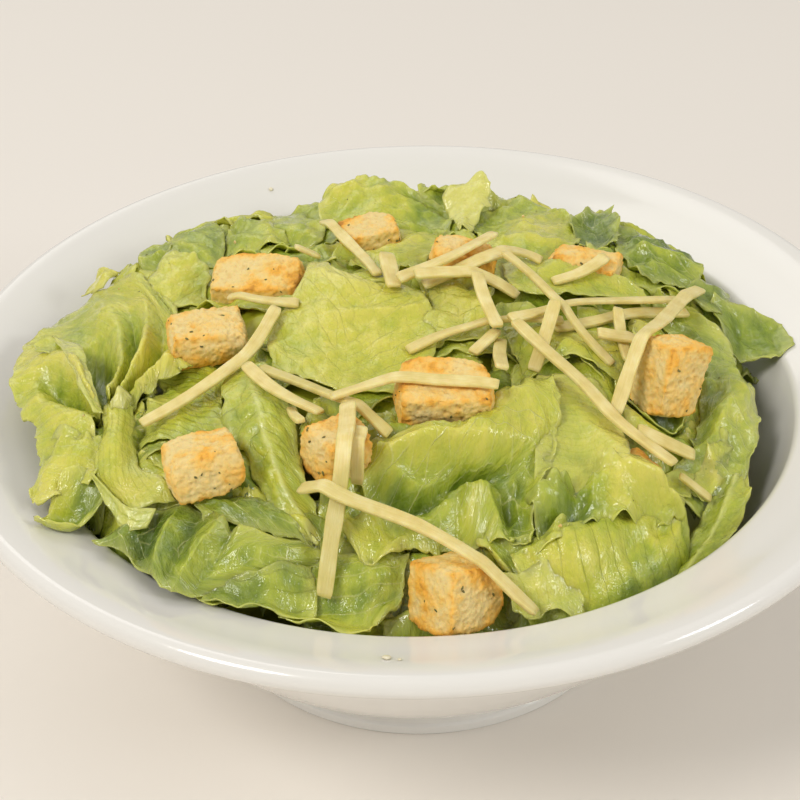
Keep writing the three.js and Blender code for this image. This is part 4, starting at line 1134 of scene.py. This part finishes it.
laid_leaves = crown_leaves + left_leaves + front_leaves + right_leaves + back_leaves
laid_map = covered_map(laid_leaves)
leaf_ceiling = spread_down(laid_map, LAYER_SLOPE)
under = {"pucker": 0.3, "step": UNDER_STEP, "ceiling": leaf_ceiling}
rng = np.random.default_rng(7)
edge_leaves = []
for k in range(EDGE_COUNT):
    azimuth = 2 * math.pi * (k + rng.uniform(-0.2, 0.2)) / EDGE_COUNT
    radius = min(heap_reach(azimuth), laid_reach(azimuth) - EDGE_UNDER) - EDGE_INSET
    rows = torn_piece(radius, azimuth, rng, **EDGE_LEAF)
    edge_leaves.append(Leaf(rows, tone=rng.uniform(0.3, 0.6), **under))
lettuce_piece("leaves_edge", edge_leaves, romaine)

hanging_leaves = []
for k in range(HANGING_COUNT):
    azimuth = 2 * math.pi * (k + rng.uniform(-0.25, 0.25)) / HANGING_COUNT
    rows = hanging_piece(azimuth, rng)
    hanging_leaves.append(Leaf(rows, tone=rng.uniform(0.25, 0.6), crumple=0.9, ruffle=2.0, tear=1.6, **under))
lettuce_piece("leaves_hanging", hanging_leaves, romaine)

inner_leaves = []
for share, ring_count in INNER_RINGS:
    for k in range(ring_count):
        azimuth = 2 * math.pi * (k + rng.uniform(-0.3, 0.3)) / ring_count + share * INNER_STAGGER
        rows = torn_piece(share * heap_reach(azimuth), azimuth, rng, **INNER_LEAF)
        inner_leaves.append(Leaf(rows, tone=rng.uniform(0.35, 0.6), **under))
lettuce_piece("leaves_inner", inner_leaves, romaine)


# ------------------------------------------------------------------ deep leaves
# The leaves deep in the bowl, packed together: one crumpled mass that fills the well and stays
# under everything laid on it, coloured darker than the leaves above as painted shade between them.

CORE_TURNS = 120
CORE_RINGS = 40
CORE_HOLE = 0.02
CORE_DROP = 3.6
CORE_INSET = 7.0
CORE_LEAST = 1
CORE_CRUMPLE = 1.6
CORE_LUMP_SIZE = 9
CORE_WRINKLE_SIZE = 7
CORE_SLOPE = 1.6
DEEP_SHADE_TONES = [(0.3, (0.20, 0.24, 0.008, 1)), (0.7, (0.50, 0.50, 0.03, 1))]


def deep_mass(ceiling):
    """Points and faces of the mass, in spokes that run out over its top and back along its underside."""
    azimuths = np.linspace(0, 2 * math.pi, CORE_TURNS, endpoint=False)
    turns, shares = np.meshgrid(azimuths, np.linspace(CORE_HOLE, 1, CORE_RINGS), indexing="ij")
    reach = np.array([heap_reach(azimuth) - CORE_INSET for azimuth in azimuths])[:, None]
    radius = shares * reach
    x, y = radius * np.cos(turns), radius * np.sin(turns)
    place = np.stack([x, y], -1)
    crumple = CORE_CRUMPLE * (lumps(place / CORE_LUMP_SIZE, 3) + wrinkles(place, CORE_WRINKLE_SIZE, 5))
    low = bowl_top(radius) + BOWL_CLEARANCE
    high = np.minimum(read_map(heap_map, x, y) - CORE_DROP + crumple, read_map(ceiling, x, y))
    side = low + CORE_LEAST + CORE_SLOPE * (reach - radius) + crumple
    high = np.maximum(np.minimum(high, side), low + CORE_LEAST)
    points = np.stack([np.tile(x, (2, 1)), np.tile(y, (2, 1)), np.concatenate([high, low])], -1).reshape(-1, 3)
    middle = [[0, 0, high[:, 0].mean()], [0, 0, WELL_FLOOR_Z + BOWL_CLEARANCE]]

    over = np.arange(x.size).reshape(x.shape)
    spokes = np.concatenate([over, over[:, ::-1] + x.size], 1)
    beside = np.roll(spokes, -1, 0)
    quads = np.stack([spokes[:, :-1], spokes[:, 1:], beside[:, 1:], beside[:, :-1]], -1).reshape(-1, 4)
    faces = quads.tolist()
    for first, second in zip(spokes.tolist(), beside.tolist()):
        faces.append([len(points), first[0], second[0]])
        faces.append([len(points) + 1, second[-1], first[-1]])
    return np.concatenate([points, middle]), faces


def deep_leaf_shade_colour():
    material, tree, shader, add = new_material("deep_leaves")
    place = add("TexCoord").outputs["Object"]
    cloud = add("TexNoise", {"Vector": place, "Scale": 120.0, "Detail": 5.0})
    # Dark greens stand in as painted shade for the leaves deep in the heap.
    tree.links.new(colour_ramp(add, cloud.outputs["Fac"], DEEP_SHADE_TONES), shader.inputs["Base Color"])
    bump = add("Bump", {"Height": cloud.outputs["Fac"], "Strength": 0.7, "Distance": 0.001})
    tree.links.new(bump.outputs["Normal"], shader.inputs["Normal"])
    shader.inputs["Roughness"].default_value = 0.4
    return material


deep_ceiling = spread_down(covered_map(laid_leaves + edge_leaves + hanging_leaves + inner_leaves), LAYER_SLOPE)
core = mesh_piece("deep_leaves", *deep_mass(deep_ceiling), {})
core.data.materials.append(deep_leaf_shade_colour())
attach(core, "root")
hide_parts("lettuce")


# ------------------------------------------------------------------ croutons
# Cubes of white bread fried in oil: a pale open crumb full of pits painted dark as shade, crisp
# orange edges and patches, an underside browned as painted shade, and a few flecks of dried herb.

CRUMB_VOXEL = 0.00042
SOFTEN_ROUNDS = 3
SHRINK_ROUNDS = 60
SHARP_EDGE = 0.9
SHADED_UNDERSIDE = 3.5
BROAD_SIZE = 5.5
TOAST_SIZE = 5
ROUGH_SIZE = 1.5
GRIT_SIZE = 0.75
CRUMB_BEND = 0.5
CRUMB_BEND_SIZE = 1.4
CRUMB_PIT = 2.1
CRUMB_FINE_PIT = 0.9
OPEN_CRUMB_SIZE = 4
PIT_SHADE_COLOUR = (0.62, 0.35, 0.08, 1)
SPECK_COLOUR = (0.55, 0.24, 0.04, 1)
CRUMB_STOPS = [
    (0.0, (0.87, 0.68, 0.29, 1)),
    (0.35, (0.93, 0.63, 0.19, 1)),
    (0.7, (0.96, 0.50, 0.07, 1)),
    (1.0, (0.56, 0.25, 0.035, 1)),
]


def toasted_bread():
    """Bread that browns from pale crumb to orange crust, with painted shade in its pits, and finely specked.
    """
    material, tree, shader, add = new_material("toasted_bread")
    place = add("TexCoord").outputs["Object"]
    toast = add("Attribute", attribute_name="toast").outputs["Fac"]
    pit = add("Attribute", attribute_name="pit").outputs["Fac"]
    cloud = add("TexNoise", {"Vector": place, "Scale": 260.0, "Detail": 5.0})
    speck = add("TexNoise", {"Vector": place, "Scale": 1100.0, "Detail": 2.0})
    shift = add("Math", {0: cloud.outputs["Fac"], 1: 0.5}, operation="SUBTRACT")
    shift = add("Math", {0: shift.outputs[0], 1: 1.7, 2: toast}, operation="MULTIPLY_ADD")
    crust = colour_ramp(add, shift.outputs[0], CRUMB_STOPS)
    # Pits are painted darker, as painted shade in the hollows.
    pit_shade = add("Math", {0: pit, 1: 0.3}, operation="MULTIPLY", use_clamp=True)
    deep = add("Mix", {0: pit_shade.outputs[0], 6: crust, 7: PIT_SHADE_COLOUR}, data_type="RGBA")
    dots = add("MapRange", {"Value": speck.outputs["Fac"], "From Min": 0.62, "From Max": 0.75})
    dots = add("Math", {0: dots.outputs[0], 1: 0.35}, operation="MULTIPLY")
    spotted = add("Mix", {0: dots.outputs[0], 6: deep.outputs[2], 7: SPECK_COLOUR}, data_type="RGBA")
    tree.links.new(spotted.outputs[2], shader.inputs["Base Color"])
    bump = add("Bump", {"Height": speck.outputs["Fac"], "Strength": 0.8, "Distance": 0.0004})
    tree.links.new(bump.outputs["Normal"], shader.inputs["Normal"])
    shader.inputs["Roughness"].default_value = 0.62
    shader.inputs["Specular IOR Level"].default_value = 0.3
    shader.inputs["Subsurface Weight"].default_value = 0.15
    shader.inputs["Subsurface Radius"].default_value = (1.0, 0.6, 0.2)
    shader.inputs["Subsurface Scale"].default_value = 0.001
    return material


def mesh_arrays(mesh):
    """The points, normals and edges of a mesh, in millimetres."""
    points = np.empty(len(mesh.vertices) * 3)
    mesh.vertices.foreach_get("co", points)
    normals = np.empty(len(mesh.vertices) * 3)
    mesh.vertices.foreach_get("normal", normals)
    edges = np.empty(len(mesh.edges) * 2, int)
    mesh.edges.foreach_get("vertices", edges)
    return points.reshape(-1, 3) / MM, normals.reshape(-1, 3), edges.reshape(-1, 2)


def move_points(mesh, points):
    """Sets the points of a mesh, in millimetres."""
    mesh.vertices.foreach_set("co", (points * MM).ravel())
    mesh.update()


def relaxed(points, edges, rounds):
    """Points drawn towards the middle of their neighbours."""
    degree = np.bincount(edges.ravel(), minlength=len(points))[:, None]
    for _ in range(rounds):
        total = np.zeros_like(points)
        np.add.at(total, edges[:, 0], points[edges[:, 1]])
        np.add.at(total, edges[:, 1], points[edges[:, 0]])
        points = points + 0.5 * (total / degree - points)
    return points


def crouton_piece(node, toast, seed, material):
    """A crouton's solid cut into fine crumb, pitted and browned. Gives its points and normals."""
    piece = placed("bread_" + node.removeprefix("crouton_"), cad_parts[node].data.copy())
    remesh = piece.modifiers.new("crumb", "REMESH")
    remesh.mode = "VOXEL"
    remesh.voxel_size = CRUMB_VOXEL
    cut = bpy.data.meshes.new_from_object(piece.evaluated_get(bpy.context.evaluated_depsgraph_get()))
    piece.modifiers.clear()
    piece.data = cut
    points, _, edges = mesh_arrays(cut)
    move_points(cut, relaxed(points, edges, SOFTEN_ROUNDS))
    points, normals, edges = mesh_arrays(cut)
    shrunk = relaxed(points, edges, SHRINK_ROUNDS)
    sharp = np.clip(((points - shrunk) * normals).sum(1) / SHARP_EDGE, 0, 1)

    broad = lumps(points / BROAD_SIZE, seed)
    bend = np.stack([lumps(points / CRUMB_BEND_SIZE, seed + k) for k in (11, 12, 13)], -1)
    bent = points + CRUMB_BEND * bend
    near, second = packed_cells(bent / CRUMB_PIT, seed + 1)
    open_crumb = np.clip(lumps(points / OPEN_CRUMB_SIZE, seed + 2) + 0.6, 0, 1) * (1 - 0.5 * sharp)
    pit = np.clip((second - near) / 0.5, 0, 1) * np.clip((0.5 - near) / 0.25, 0, 1) * open_crumb
    fine_near, _ = packed_cells(bent / CRUMB_FINE_PIT, seed + 3)
    fine_pit = np.clip((0.5 - fine_near) / 0.35, 0, 1)
    rough = 1 - 2 * np.abs(lumps(bent / ROUGH_SIZE, seed + 4))
    grit = lumps(points / GRIT_SIZE, seed + 8)
    shift = 0.28 * broad - 0.55 * pit - 0.3 * fine_pit + 0.1 * rough + 0.24 * grit + 0.4 * sharp * broad
    points = points + normals * shift[:, None]
    move_points(cut, points)

    # The lowest few millimetres are browned as painted shade under the crouton.
    painted_underside_shade = np.clip((points[:, 2].min() + SHADED_UNDERSIDE - points[:, 2]) / SHADED_UNDERSIDE, 0, 1)
    patches = lumps(points / TOAST_SIZE, seed + 5)
    # The toast mark holds real browning of edges and patches together with the painted shade of the underside.
    brown = toast + 0.6 * sharp + 0.45 * painted_underside_shade + 0.36 * patches + 0.1 * rough + 0.12 * grit
    mark_points(cut, "toast", brown)
    # The pit mark carries painted shade into the colour.
    mark_points(cut, "pit", pit + 0.5 * fine_pit)
    cut.polygons.foreach_set("use_smooth", [True] * len(cut.polygons))
    cut.materials.clear()
    cut.materials.append(material)
    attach(piece, "root")
    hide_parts(node)
    return points, normals


# crouton_tucked gets little toast, so that it is painted paler as painted light against the shade it lies in.
CROUTON_TOAST = {
    "crouton_back_left": 0.22, "crouton_left": 0.15, "crouton_front_left": 0.05, "crouton_back": 0.22,
    "crouton_middle": 0.3, "crouton_back_right": 0.12, "crouton_centre": 0.2, "crouton_tilted": 0.1,
    "crouton_front": 0.2, "crouton_right": 0.12, "crouton_tucked": 0.05,
}
bread = toasted_bread()
crumb_surfaces = {}
for seed, (node, toast) in enumerate(CROUTON_TOAST.items()):
    crumb_surfaces[node] = crouton_piece(node, toast, 31 + 7 * seed, bread)


# ------------------------------------------------------------------ herb flecks and crumbs
# Dried parsley and cracked pepper stuck to the croutons and strewn over the leaves, and crumbs
# that have broken off the bread.

HERB_COUNT = 7
HERB_SIZES = (0.7, 1.7)
HERB_THICKNESS = 0.16
LEAF_FLECK_COUNT = 16
LEAF_FLECK_SIZES = (0.3, 0.7)
LEAF_FLECK_THICKNESS = 0.18
CRUMB_COUNT = 12
CRUMB_SIZES = (0.5, 1.1)
FLECK_REACH = 84
CHIP_RINGS = ((-0.3, 1.0), (0.5, 1.0), (1.0, 0.55))


def chip(place, normal, size, thickness, slim, rng):
    """A small angular flake lying on a surface, long or round: its points and faces."""
    sides = int(rng.integers(5, 8))
    normal = Vector(normal)
    across = normal.orthogonal().normalized()
    along = normal.cross(across)
    turns = np.sort(rng.uniform(0, 2 * math.pi, 2)[0] + np.arange(sides) * 2 * math.pi / sides)
    reach = size / 2 * rng.uniform(0.6, 1.0, sides) * (1 - slim * np.sin(turns - turns[0]) ** 2)
    rings = []
    for height, share in CHIP_RINGS:
        tilt = rng.uniform(-0.15, 0.15, sides)
        for turn, r, extra in zip(turns, reach, tilt):
            spot = across * (math.cos(turn) * r * share) + along * (math.sin(turn) * r * share)
            rings.append(Vector(place) + spot + normal * (thickness * (height + extra)))
    points = np.array([tuple(point) for point in rings])
    faces = [tuple(range(sides))[::-1], tuple(range(2 * sides, 3 * sides))]
    for ring in (0, sides):
        for k in range(sides):
            after = (k + 1) % sides
            faces.append((ring + k, ring + after, ring + sides + after, ring + sides + k))
    return points, faces


def strewn_piece(name, chips, material, nodes):
    """One mesh of many small flakes."""
    points, faces = [], []
    for chip_points, chip_faces in chips:
        offset = sum(len(group) for group in points)
        points.append(chip_points)
        faces += [tuple(offset + index for index in face) for face in chip_faces]
    piece = mesh_piece(name, np.concatenate(points), faces, {}, smooth=False)
    piece.data.materials.append(material)
    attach(piece, "root")
    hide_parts(*nodes)


def speckled(name, dark, light, scale):
    """A dry crumbly material of two tones."""
    material, tree, shader, add = new_material(name)
    place = add("TexCoord").outputs["Object"]
    cloud = add("TexNoise", {"Vector": place, "Scale": scale, "Detail": 3.0})
    tone = colour_ramp(add, cloud.outputs["Fac"], [(0.35, dark), (0.65, light)])
    tree.links.new(tone, shader.inputs["Base Color"])
    bump = add("Bump", {"Height": cloud.outputs["Fac"], "Strength": 0.6, "Distance": 0.0002})
    tree.links.new(bump.outputs["Normal"], shader.inputs["Normal"])
    shader.inputs["Roughness"].default_value = 0.6
    return material


def top_leaf_spots(count, rng):
    """Places and normals on the upper side of the leaves that lie on top."""
    tops = np.concatenate([leaf.points[: len(leaf.points) // 2] for leaf in laid_leaves])
    inside = np.hypot(tops[:, 0], tops[:, 1]) < FLECK_REACH
    level = read_map(shred_ceiling, tops[:, 0], tops[:, 1]) > NOTHING / 2
    free = inside & level & (tops[:, 2] > read_map(heap_map, tops[:, 0], tops[:, 1]) - 1)
    picks = rng.choice(np.flatnonzero(free), count, replace=False)
    return [(tops[k], (rng.uniform(-0.2, 0.2), rng.uniform(-0.3, 0.1), 1.0)) for k in picks]


chance_rng = np.random.default_rng(23)
fleck_chips = []
for crumb_points, crumb_normals in crumb_surfaces.values():
    facing = np.flatnonzero((crumb_normals[:, 2] > -0.2) & (crumb_normals[:, 1] < 0.6))
    for k in chance_rng.choice(facing, HERB_COUNT, replace=False):
        size = chance_rng.uniform(*HERB_SIZES)
        fleck_chips.append(chip(crumb_points[k], crumb_normals[k], size, HERB_THICKNESS, 0.6, chance_rng))
for spot, normal in top_leaf_spots(LEAF_FLECK_COUNT, chance_rng):
    size = chance_rng.uniform(*LEAF_FLECK_SIZES)
    fleck_chips.append(chip(spot, Vector(normal).normalized(), size, LEAF_FLECK_THICKNESS, 0.4, chance_rng))
herb = speckled("dried_herb", (0.09, 0.085, 0.015, 1), (0.21, 0.19, 0.045, 1), 900.0)
strewn_piece("herb_flecks", fleck_chips, herb, CROUTON_NODES)

crumb_chips = []
for spot, normal in top_leaf_spots(CRUMB_COUNT, chance_rng):
    size = chance_rng.uniform(*CRUMB_SIZES)
    crumb_chips.append(chip(spot, Vector(normal).normalized(), size, size * 0.5, 0.2, chance_rng))
loose_crumb = speckled("loose_crumb", (0.84, 0.55, 0.17, 1), (0.90, 0.70, 0.32, 1), 700.0)
strewn_piece("loose_crumbs", crumb_chips, loose_crumb, CROUTON_NODES)


# ------------------------------------------------------------------ dressing drops
# Drops of thin creamy dressing that fell on the flange of the bowl: flat, smooth and shiny.

DROPS = [(-6.7, -103.6, 0.9), (-4.2, -104.6, 0.45), (-42.0, 94.0, 0.6)]
DROP_SIDES = 20
DROP_RINGS = [(1.0, -0.1), (1.0, 0.08), (0.88, 0.25), (0.6, 0.38), (0.25, 0.43)]
DRESSING_TONES = [(0.3, (0.80, 0.72, 0.50, 1)), (0.7, (0.88, 0.82, 0.62, 1))]


def drop_shape(x, y, size, seed, start):
    """The points of one drop, ring over ring on the sloping flange, and its faces, numbered from start."""
    points, faces = [], []
    turns = np.linspace(0, 2 * math.pi, DROP_SIDES, endpoint=False)
    reach = size * (1 + 0.2 * lumps(np.stack([np.cos(turns), np.sin(turns)], -1) * 1.5, seed))
    for share, height in DROP_RINGS:
        for turn, r in zip(turns, reach):
            spot_x, spot_y = x + share * r * math.cos(turn), y + share * r * math.sin(turn)
            level = float(flange_height(math.hypot(spot_x, spot_y))) + height * size
            points.append((spot_x, spot_y, level))
    rings = (start + np.arange(len(points)).reshape(-1, DROP_SIDES)).tolist()
    for lower, upper in zip(rings, rings[1:]):
        for side in range(DROP_SIDES):
            after = (side + 1) % DROP_SIDES
            faces.append((lower[side], lower[after], upper[after], upper[side]))
    return points, faces + [tuple(rings[0][::-1]), tuple(rings[-1])]


def creamy_dressing():
    material, tree, shader, add = new_material("creamy_dressing")
    cloud = add("TexNoise", {"Vector": add("TexCoord").outputs["Object"], "Scale": 500.0, "Detail": 2.0})
    tree.links.new(colour_ramp(add, cloud.outputs["Fac"], DRESSING_TONES), shader.inputs["Base Color"])
    shader.inputs["Roughness"].default_value = 0.15
    return material


drop_points, drop_faces = [], []
for seed, (x, y, size) in enumerate(DROPS, 60):
    points, faces = drop_shape(x, y, size, seed, len(drop_points))
    drop_points += points
    drop_faces += faces
drops = mesh_piece("dressing_drops", np.array(drop_points), drop_faces, {})
drops.data.materials.append(creamy_dressing())
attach(drops, "root")
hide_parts("lettuce")


# ------------------------------------------------------------------ cheese shreds
# Hard aged cheese drawn through a shredder: long flat strips, a little see-through, with fine
# lines along them and soft torn ends. They lie loose over leaves and croutons and on each other.

SHRED_STEP = 0.8
SHRED_SIDES = 18
SHRED_THICKNESS = 1.2
SHRED_LINE = 0.07
SHRED_DROP = 0.35
SHRED_RISE = 3.0
SHRED_CLEAR = 3.4
SHRED_WORN_EDGE = 0.4
SAG_ROUNDS = 120
END_ROUND = 1.1
THIN_COLOUR = (0.40, 0.40, 0.07, 1)
CHEESE_TONES = [(0.5, (0.72, 0.58, 0.19, 1)), (0.75, (0.82, 0.68, 0.27, 1)), (1.0, (0.90, 0.78, 0.38, 1))]
THICK_SHRED = 0.03
THIN_SHREDS = {
    "shred_front_wide": 0.34, "shred_front_long": 0.12, "shred_front_stub": 0.25, "shred_centre_under": 0.25,
    "shred_right_wedge": 0.15, "shred_right_wisp": 0.25, "shred_back_slant": 0.1, "shred_right_drop": 0.1,
}
THIN_ROOM = 3


def shred_rows(node):
    """The rows of four corner points along a strip, found by walking its mesh from one end."""
    bm = bmesh.new()
    bm.from_mesh(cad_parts[node].data)
    bmesh.ops.remove_doubles(bm, verts=bm.verts, dist=1e-6)
    bm.verts.index_update()
    total = len(bm.verts)
    for edge in bm.edges:
        layer = {vert for face in edge.link_faces for vert in face.verts}
        rows, seen = [], set()
        while len(layer) == 4:
            rows.append([vert.co / MM for vert in sorted(layer, key=lambda vert: vert.index)])
            seen |= layer
            layer = {other.other_vert(vert) for vert in layer for other in vert.link_edges} - seen
        if len(seen) == total and not layer:
            break
    bm.free()
    rows = np.array(rows)
    for k in range(1, len(rows)):
        before = rows[k - 1] - rows[k - 1].mean(0)
        here = rows[k] - rows[k].mean(0)
        orders = itertools.permutations(range(4))
        best = min(orders, key=lambda order: np.linalg.norm(here[list(order)] - before, axis=1).sum())
        rows[k] = rows[k][list(best)]
    return rows


def shred_frame(rows):
    """The middle line of a strip, and half its width as a vector across."""
    middle = rows.mean(1)
    partner = min(range(1, 4), key=lambda k: np.linalg.norm(rows[:, 0] - rows[:, k], axis=1).mean())
    across = rows[:, 0] + rows[:, partner] - 2 * middle
    return middle, across / 2


def room_above(node, middle):
    """How far a strip may rise at each row before it meets a strip that lies over it."""
    room = np.full(len(middle), SHRED_RISE)
    for other, line in shred_lines.items():
        if other == node:
            continue
        gap = np.linalg.norm(middle[:, None, :2] - line[None, :, :2], axis=-1)
        over = line[None, :, 2] - middle[:, None, 2]
        near = (gap < SHRED_CLEAR) & (over > 0)
        room = np.minimum(room, np.where(near, np.maximum(over - SHRED_THICKNESS, 0.1), SHRED_RISE).min(1))
    return room


def eased(line, rounds):
    """A line whose kinks are bridged, with its ends kept."""
    for _ in range(rounds):
        line[1:-1] = 0.5 * line[1:-1] + 0.25 * (line[:-2] + line[2:])
    return line


class Shred:
    """One strip of cheese along a smooth line, with a rounded section and worn ends."""

    def __init__(self, node, seed):
        middle, half = shred_frame(shred_rows(node))
        rest = middle[:, 2].copy()
        highest = rest + room_above(node, middle)
        for _ in range(SAG_ROUNDS):
            level = eased(middle[:, 2], 1)
            level[0], level[-1] = 2 * level[1] - level[2], 2 * level[-2] - level[-3]
            middle[:, 2] = np.clip(level, rest - SHRED_DROP, highest)
        middle[:, :2] = eased(middle[:, :2], 2)
        half = eased(half, 3)
        length = np.linalg.norm(np.diff(middle, axis=0), axis=1).sum()
        count = max(8, int(length / SHRED_STEP))
        middle, half = smooth_rows(middle, count, 0), smooth_rows(half, count, 0)
        along = np.gradient(middle, axis=0)
        along /= np.linalg.norm(along, axis=1, keepdims=True)
        width = np.linalg.norm(half, axis=1)
        across = half / width[:, None]
        up = np.cross(across, along)
        up *= np.sign(up[:, 2:])
        run = np.linspace(0, length, count)
        end = np.clip(np.minimum(run, length - run) / END_ROUND, 0, 1)
        width = width * (0.8 + 0.2 * np.sqrt(end)) * (1 + 0.06 * lumps(run[:, None] / 5, seed))
        turn = np.linspace(0, 2 * math.pi, SHRED_SIDES, endpoint=False)
        flat = np.sign(np.cos(turn)) * np.abs(np.cos(turn)) ** SHRED_WORN_EDGE
        tall = np.sign(np.sin(turn)) * np.abs(np.sin(turn)) ** SHRED_WORN_EDGE
        grain = np.stack(np.broadcast_arrays(flat[None] * width[:, None] * 2.2, run[:, None] / 14), -1)
        groove = SHRED_LINE * lumps(grain * np.array([1.6, 1.0]), seed + 1)
        tall = tall * (SHRED_THICKNESS / 2 * (0.75 + 0.25 * end[:, None]) + groove)
        sideways = across[:, None] * (width[:, None] * flat)[..., None]
        ring = middle[:, None] + sideways + up[:, None] * tall[..., None]
        caps = [ring[0].mean(0, keepdims=True), ring[-1].mean(0, keepdims=True)]
        self.points = np.concatenate([ring.reshape(-1, 3)] + caps)
        index = np.arange(count * SHRED_SIDES).reshape(count, SHRED_SIDES)
        beside = np.roll(index, -1, 1)
        self.faces = np.stack([index[:-1], beside[:-1], beside[1:], index[1:]], -1).reshape(-1, 4).tolist()
        last = count * SHRED_SIDES
        self.faces += [(last, int(b), int(a)) for a, b in zip(index[0], beside[0])]
        self.faces += [(last + 1, int(a), int(b)) for a, b in zip(index[-1], beside[-1])]
        places = np.broadcast_to(run[:, None], (count, SHRED_SIDES)).ravel()
        widths = (flat[None] * width[:, None]).ravel()
        grain = np.stack([widths, places, np.full(places.shape, 9.0 * seed)], -1)
        room = read_map(crouton_ceiling, *self.points[:, :2].T) - self.points[:, 2]
        self.marks = {
            "grain": np.concatenate([grain, grain[:1], grain[-1:]]),
            "thin": THIN_SHREDS.get(node, THICK_SHRED) * np.clip(room / THIN_ROOM, 0, 1),
        }


def aged_cheese():
    """Pale cheese with fine lines along it; where it is thin, the green below shows through."""
    material, tree, shader, add = new_material("aged_cheese")
    grain = add("Attribute", attribute_name="grain").outputs["Vector"]
    stretched = add("Mapping", {"Vector": grain, "Scale": (2.4, 0.16, 1.0)})
    lines = add("TexNoise", {"Vector": stretched.outputs[0], "Scale": 1.4, "Detail": 4.0})
    cloud = add("TexNoise", {"Vector": grain, "Scale": 0.25, "Detail": 3.0})
    blend = add("Math", {0: lines.outputs["Fac"], 1: 0.5, 2: cloud.outputs["Fac"]}, operation="MULTIPLY_ADD")
    body = colour_ramp(add, blend.outputs[0], CHEESE_TONES)
    thin = add("Attribute", attribute_name="thin").outputs["Fac"]
    seen = add("Mix", {0: thin, 6: body, 7: THIN_COLOUR}, data_type="RGBA")
    tree.links.new(seen.outputs[2], shader.inputs["Base Color"])
    bump = add("Bump", {"Height": lines.outputs["Fac"], "Strength": 0.4, "Distance": 0.0003})
    tree.links.new(bump.outputs["Normal"], shader.inputs["Normal"])
    shader.inputs["Roughness"].default_value = 0.42
    shader.inputs["Subsurface Weight"].default_value = 0.5
    shader.inputs["Subsurface Radius"].default_value = (1.0, 0.8, 0.35)
    shader.inputs["Subsurface Scale"].default_value = 0.0015
    return material


shred_lines = {}
for node in SHRED_NODES:
    line = shred_frame(shred_rows(node))[0]
    shred_lines[node] = smooth_rows(line, 3 * len(line), 1)
cheese = aged_cheese()
for seed, node in enumerate(SHRED_NODES):
    shred = Shred(node, seed + 1.0)
    strip = mesh_piece("cheese_" + node.removeprefix("shred_"), shred.points, shred.faces, shred.marks)
    strip.data.materials.append(cheese)
    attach(strip, "root")
    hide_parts(node)


# ------------------------------------------------------------------ floor, light and camera
# A pale floor of paper, a soft key light from the front left with two weaker ones behind and
# to the right, and a camera that looks down over the front of the bowl.

FLOOR_HALF = 12.0
PAPER_TONES = (0.84, 0.79, 0.72, 1), (0.86, 0.81, 0.74, 1)
ROOM_COLOUR = (1.0, 0.975, 0.94, 1)
ROOM_LIGHT = 0.51
LIGHT_AIM = Vector((0, 0, 0.05))
LENS = 73.53
SENSOR = 36.0
CAMERA_PLACE = Vector((0, -0.33641, 0.29698))
CAMERA_AIM = Vector((-0.00443, 0.01592, 0.05))
CAMERA_ROLL = math.radians(-1.386)

floor_mesh = bpy.data.meshes.new("floor")
corners = [(FLOOR_HALF * x, FLOOR_HALF * y, 0) for x, y in ((-1, -1), (1, -1), (1, 1), (-1, 1))]
floor_mesh.from_pydata(corners, [], [(0, 1, 2, 3)])
floor = placed("floor", floor_mesh)
paper, paper_tree, paper_shader, add = new_material("pale_paper")
fibre = add("TexNoise", {"Vector": add("TexCoord").outputs["Object"], "Scale": 3.0})
tint = add("ValToRGB", {"Fac": fibre.outputs["Fac"]})
for element, colour in zip(tint.color_ramp.elements, PAPER_TONES):
    element.color = colour
paper_tree.links.new(tint.outputs["Color"], paper_shader.inputs["Base Color"])
paper_shader.inputs["Roughness"].default_value = 0.6
floor_mesh.materials.append(paper)

world = bpy.data.worlds.new("studio")
world.use_nodes = True
background = world.node_tree.nodes["Background"]
background.inputs["Color"].default_value = ROOM_COLOUR
background.inputs["Strength"].default_value = ROOM_LIGHT
bpy.context.scene.world = world


def soft_light(name, place, size, power, colour):
    """A round lamp, in metres and watts, turned towards the salad."""
    light = bpy.data.lights.new(name, "AREA")
    light.shape = "DISK"
    light.size = size
    light.energy = power
    light.color = colour
    lamp = placed(name, light)
    lamp.location = place
    lamp.rotation_euler = (LIGHT_AIM - Vector(place)).to_track_quat("-Z", "Y").to_euler()


soft_light("key", place=(-0.9, -0.8, 1.45), size=0.6, power=14.2, colour=(1.0, 0.975, 0.94))
soft_light("back_left", place=(-0.6, 1.3, 1.5), size=1.2, power=6.0, colour=(1.0, 0.98, 0.95))
soft_light("right", place=(1.3, -0.6, 0.9), size=0.5, power=6.0, colour=(0.96, 0.98, 1.0))

camera_data = bpy.data.cameras.new("camera")
camera_data.lens = LENS
camera_data.sensor_width = SENSOR
camera_data.clip_start = 0.01
camera = placed("camera", camera_data)
turn = (CAMERA_AIM - CAMERA_PLACE).to_track_quat("-Z", "Y").to_matrix() @ Matrix.Rotation(CAMERA_ROLL, 3, "Z")
camera.matrix_world = Matrix.Translation(CAMERA_PLACE) @ turn.to_4x4()
bpy.context.scene.camera = camera
bpy.context.scene.view_settings.view_transform = "Standard"
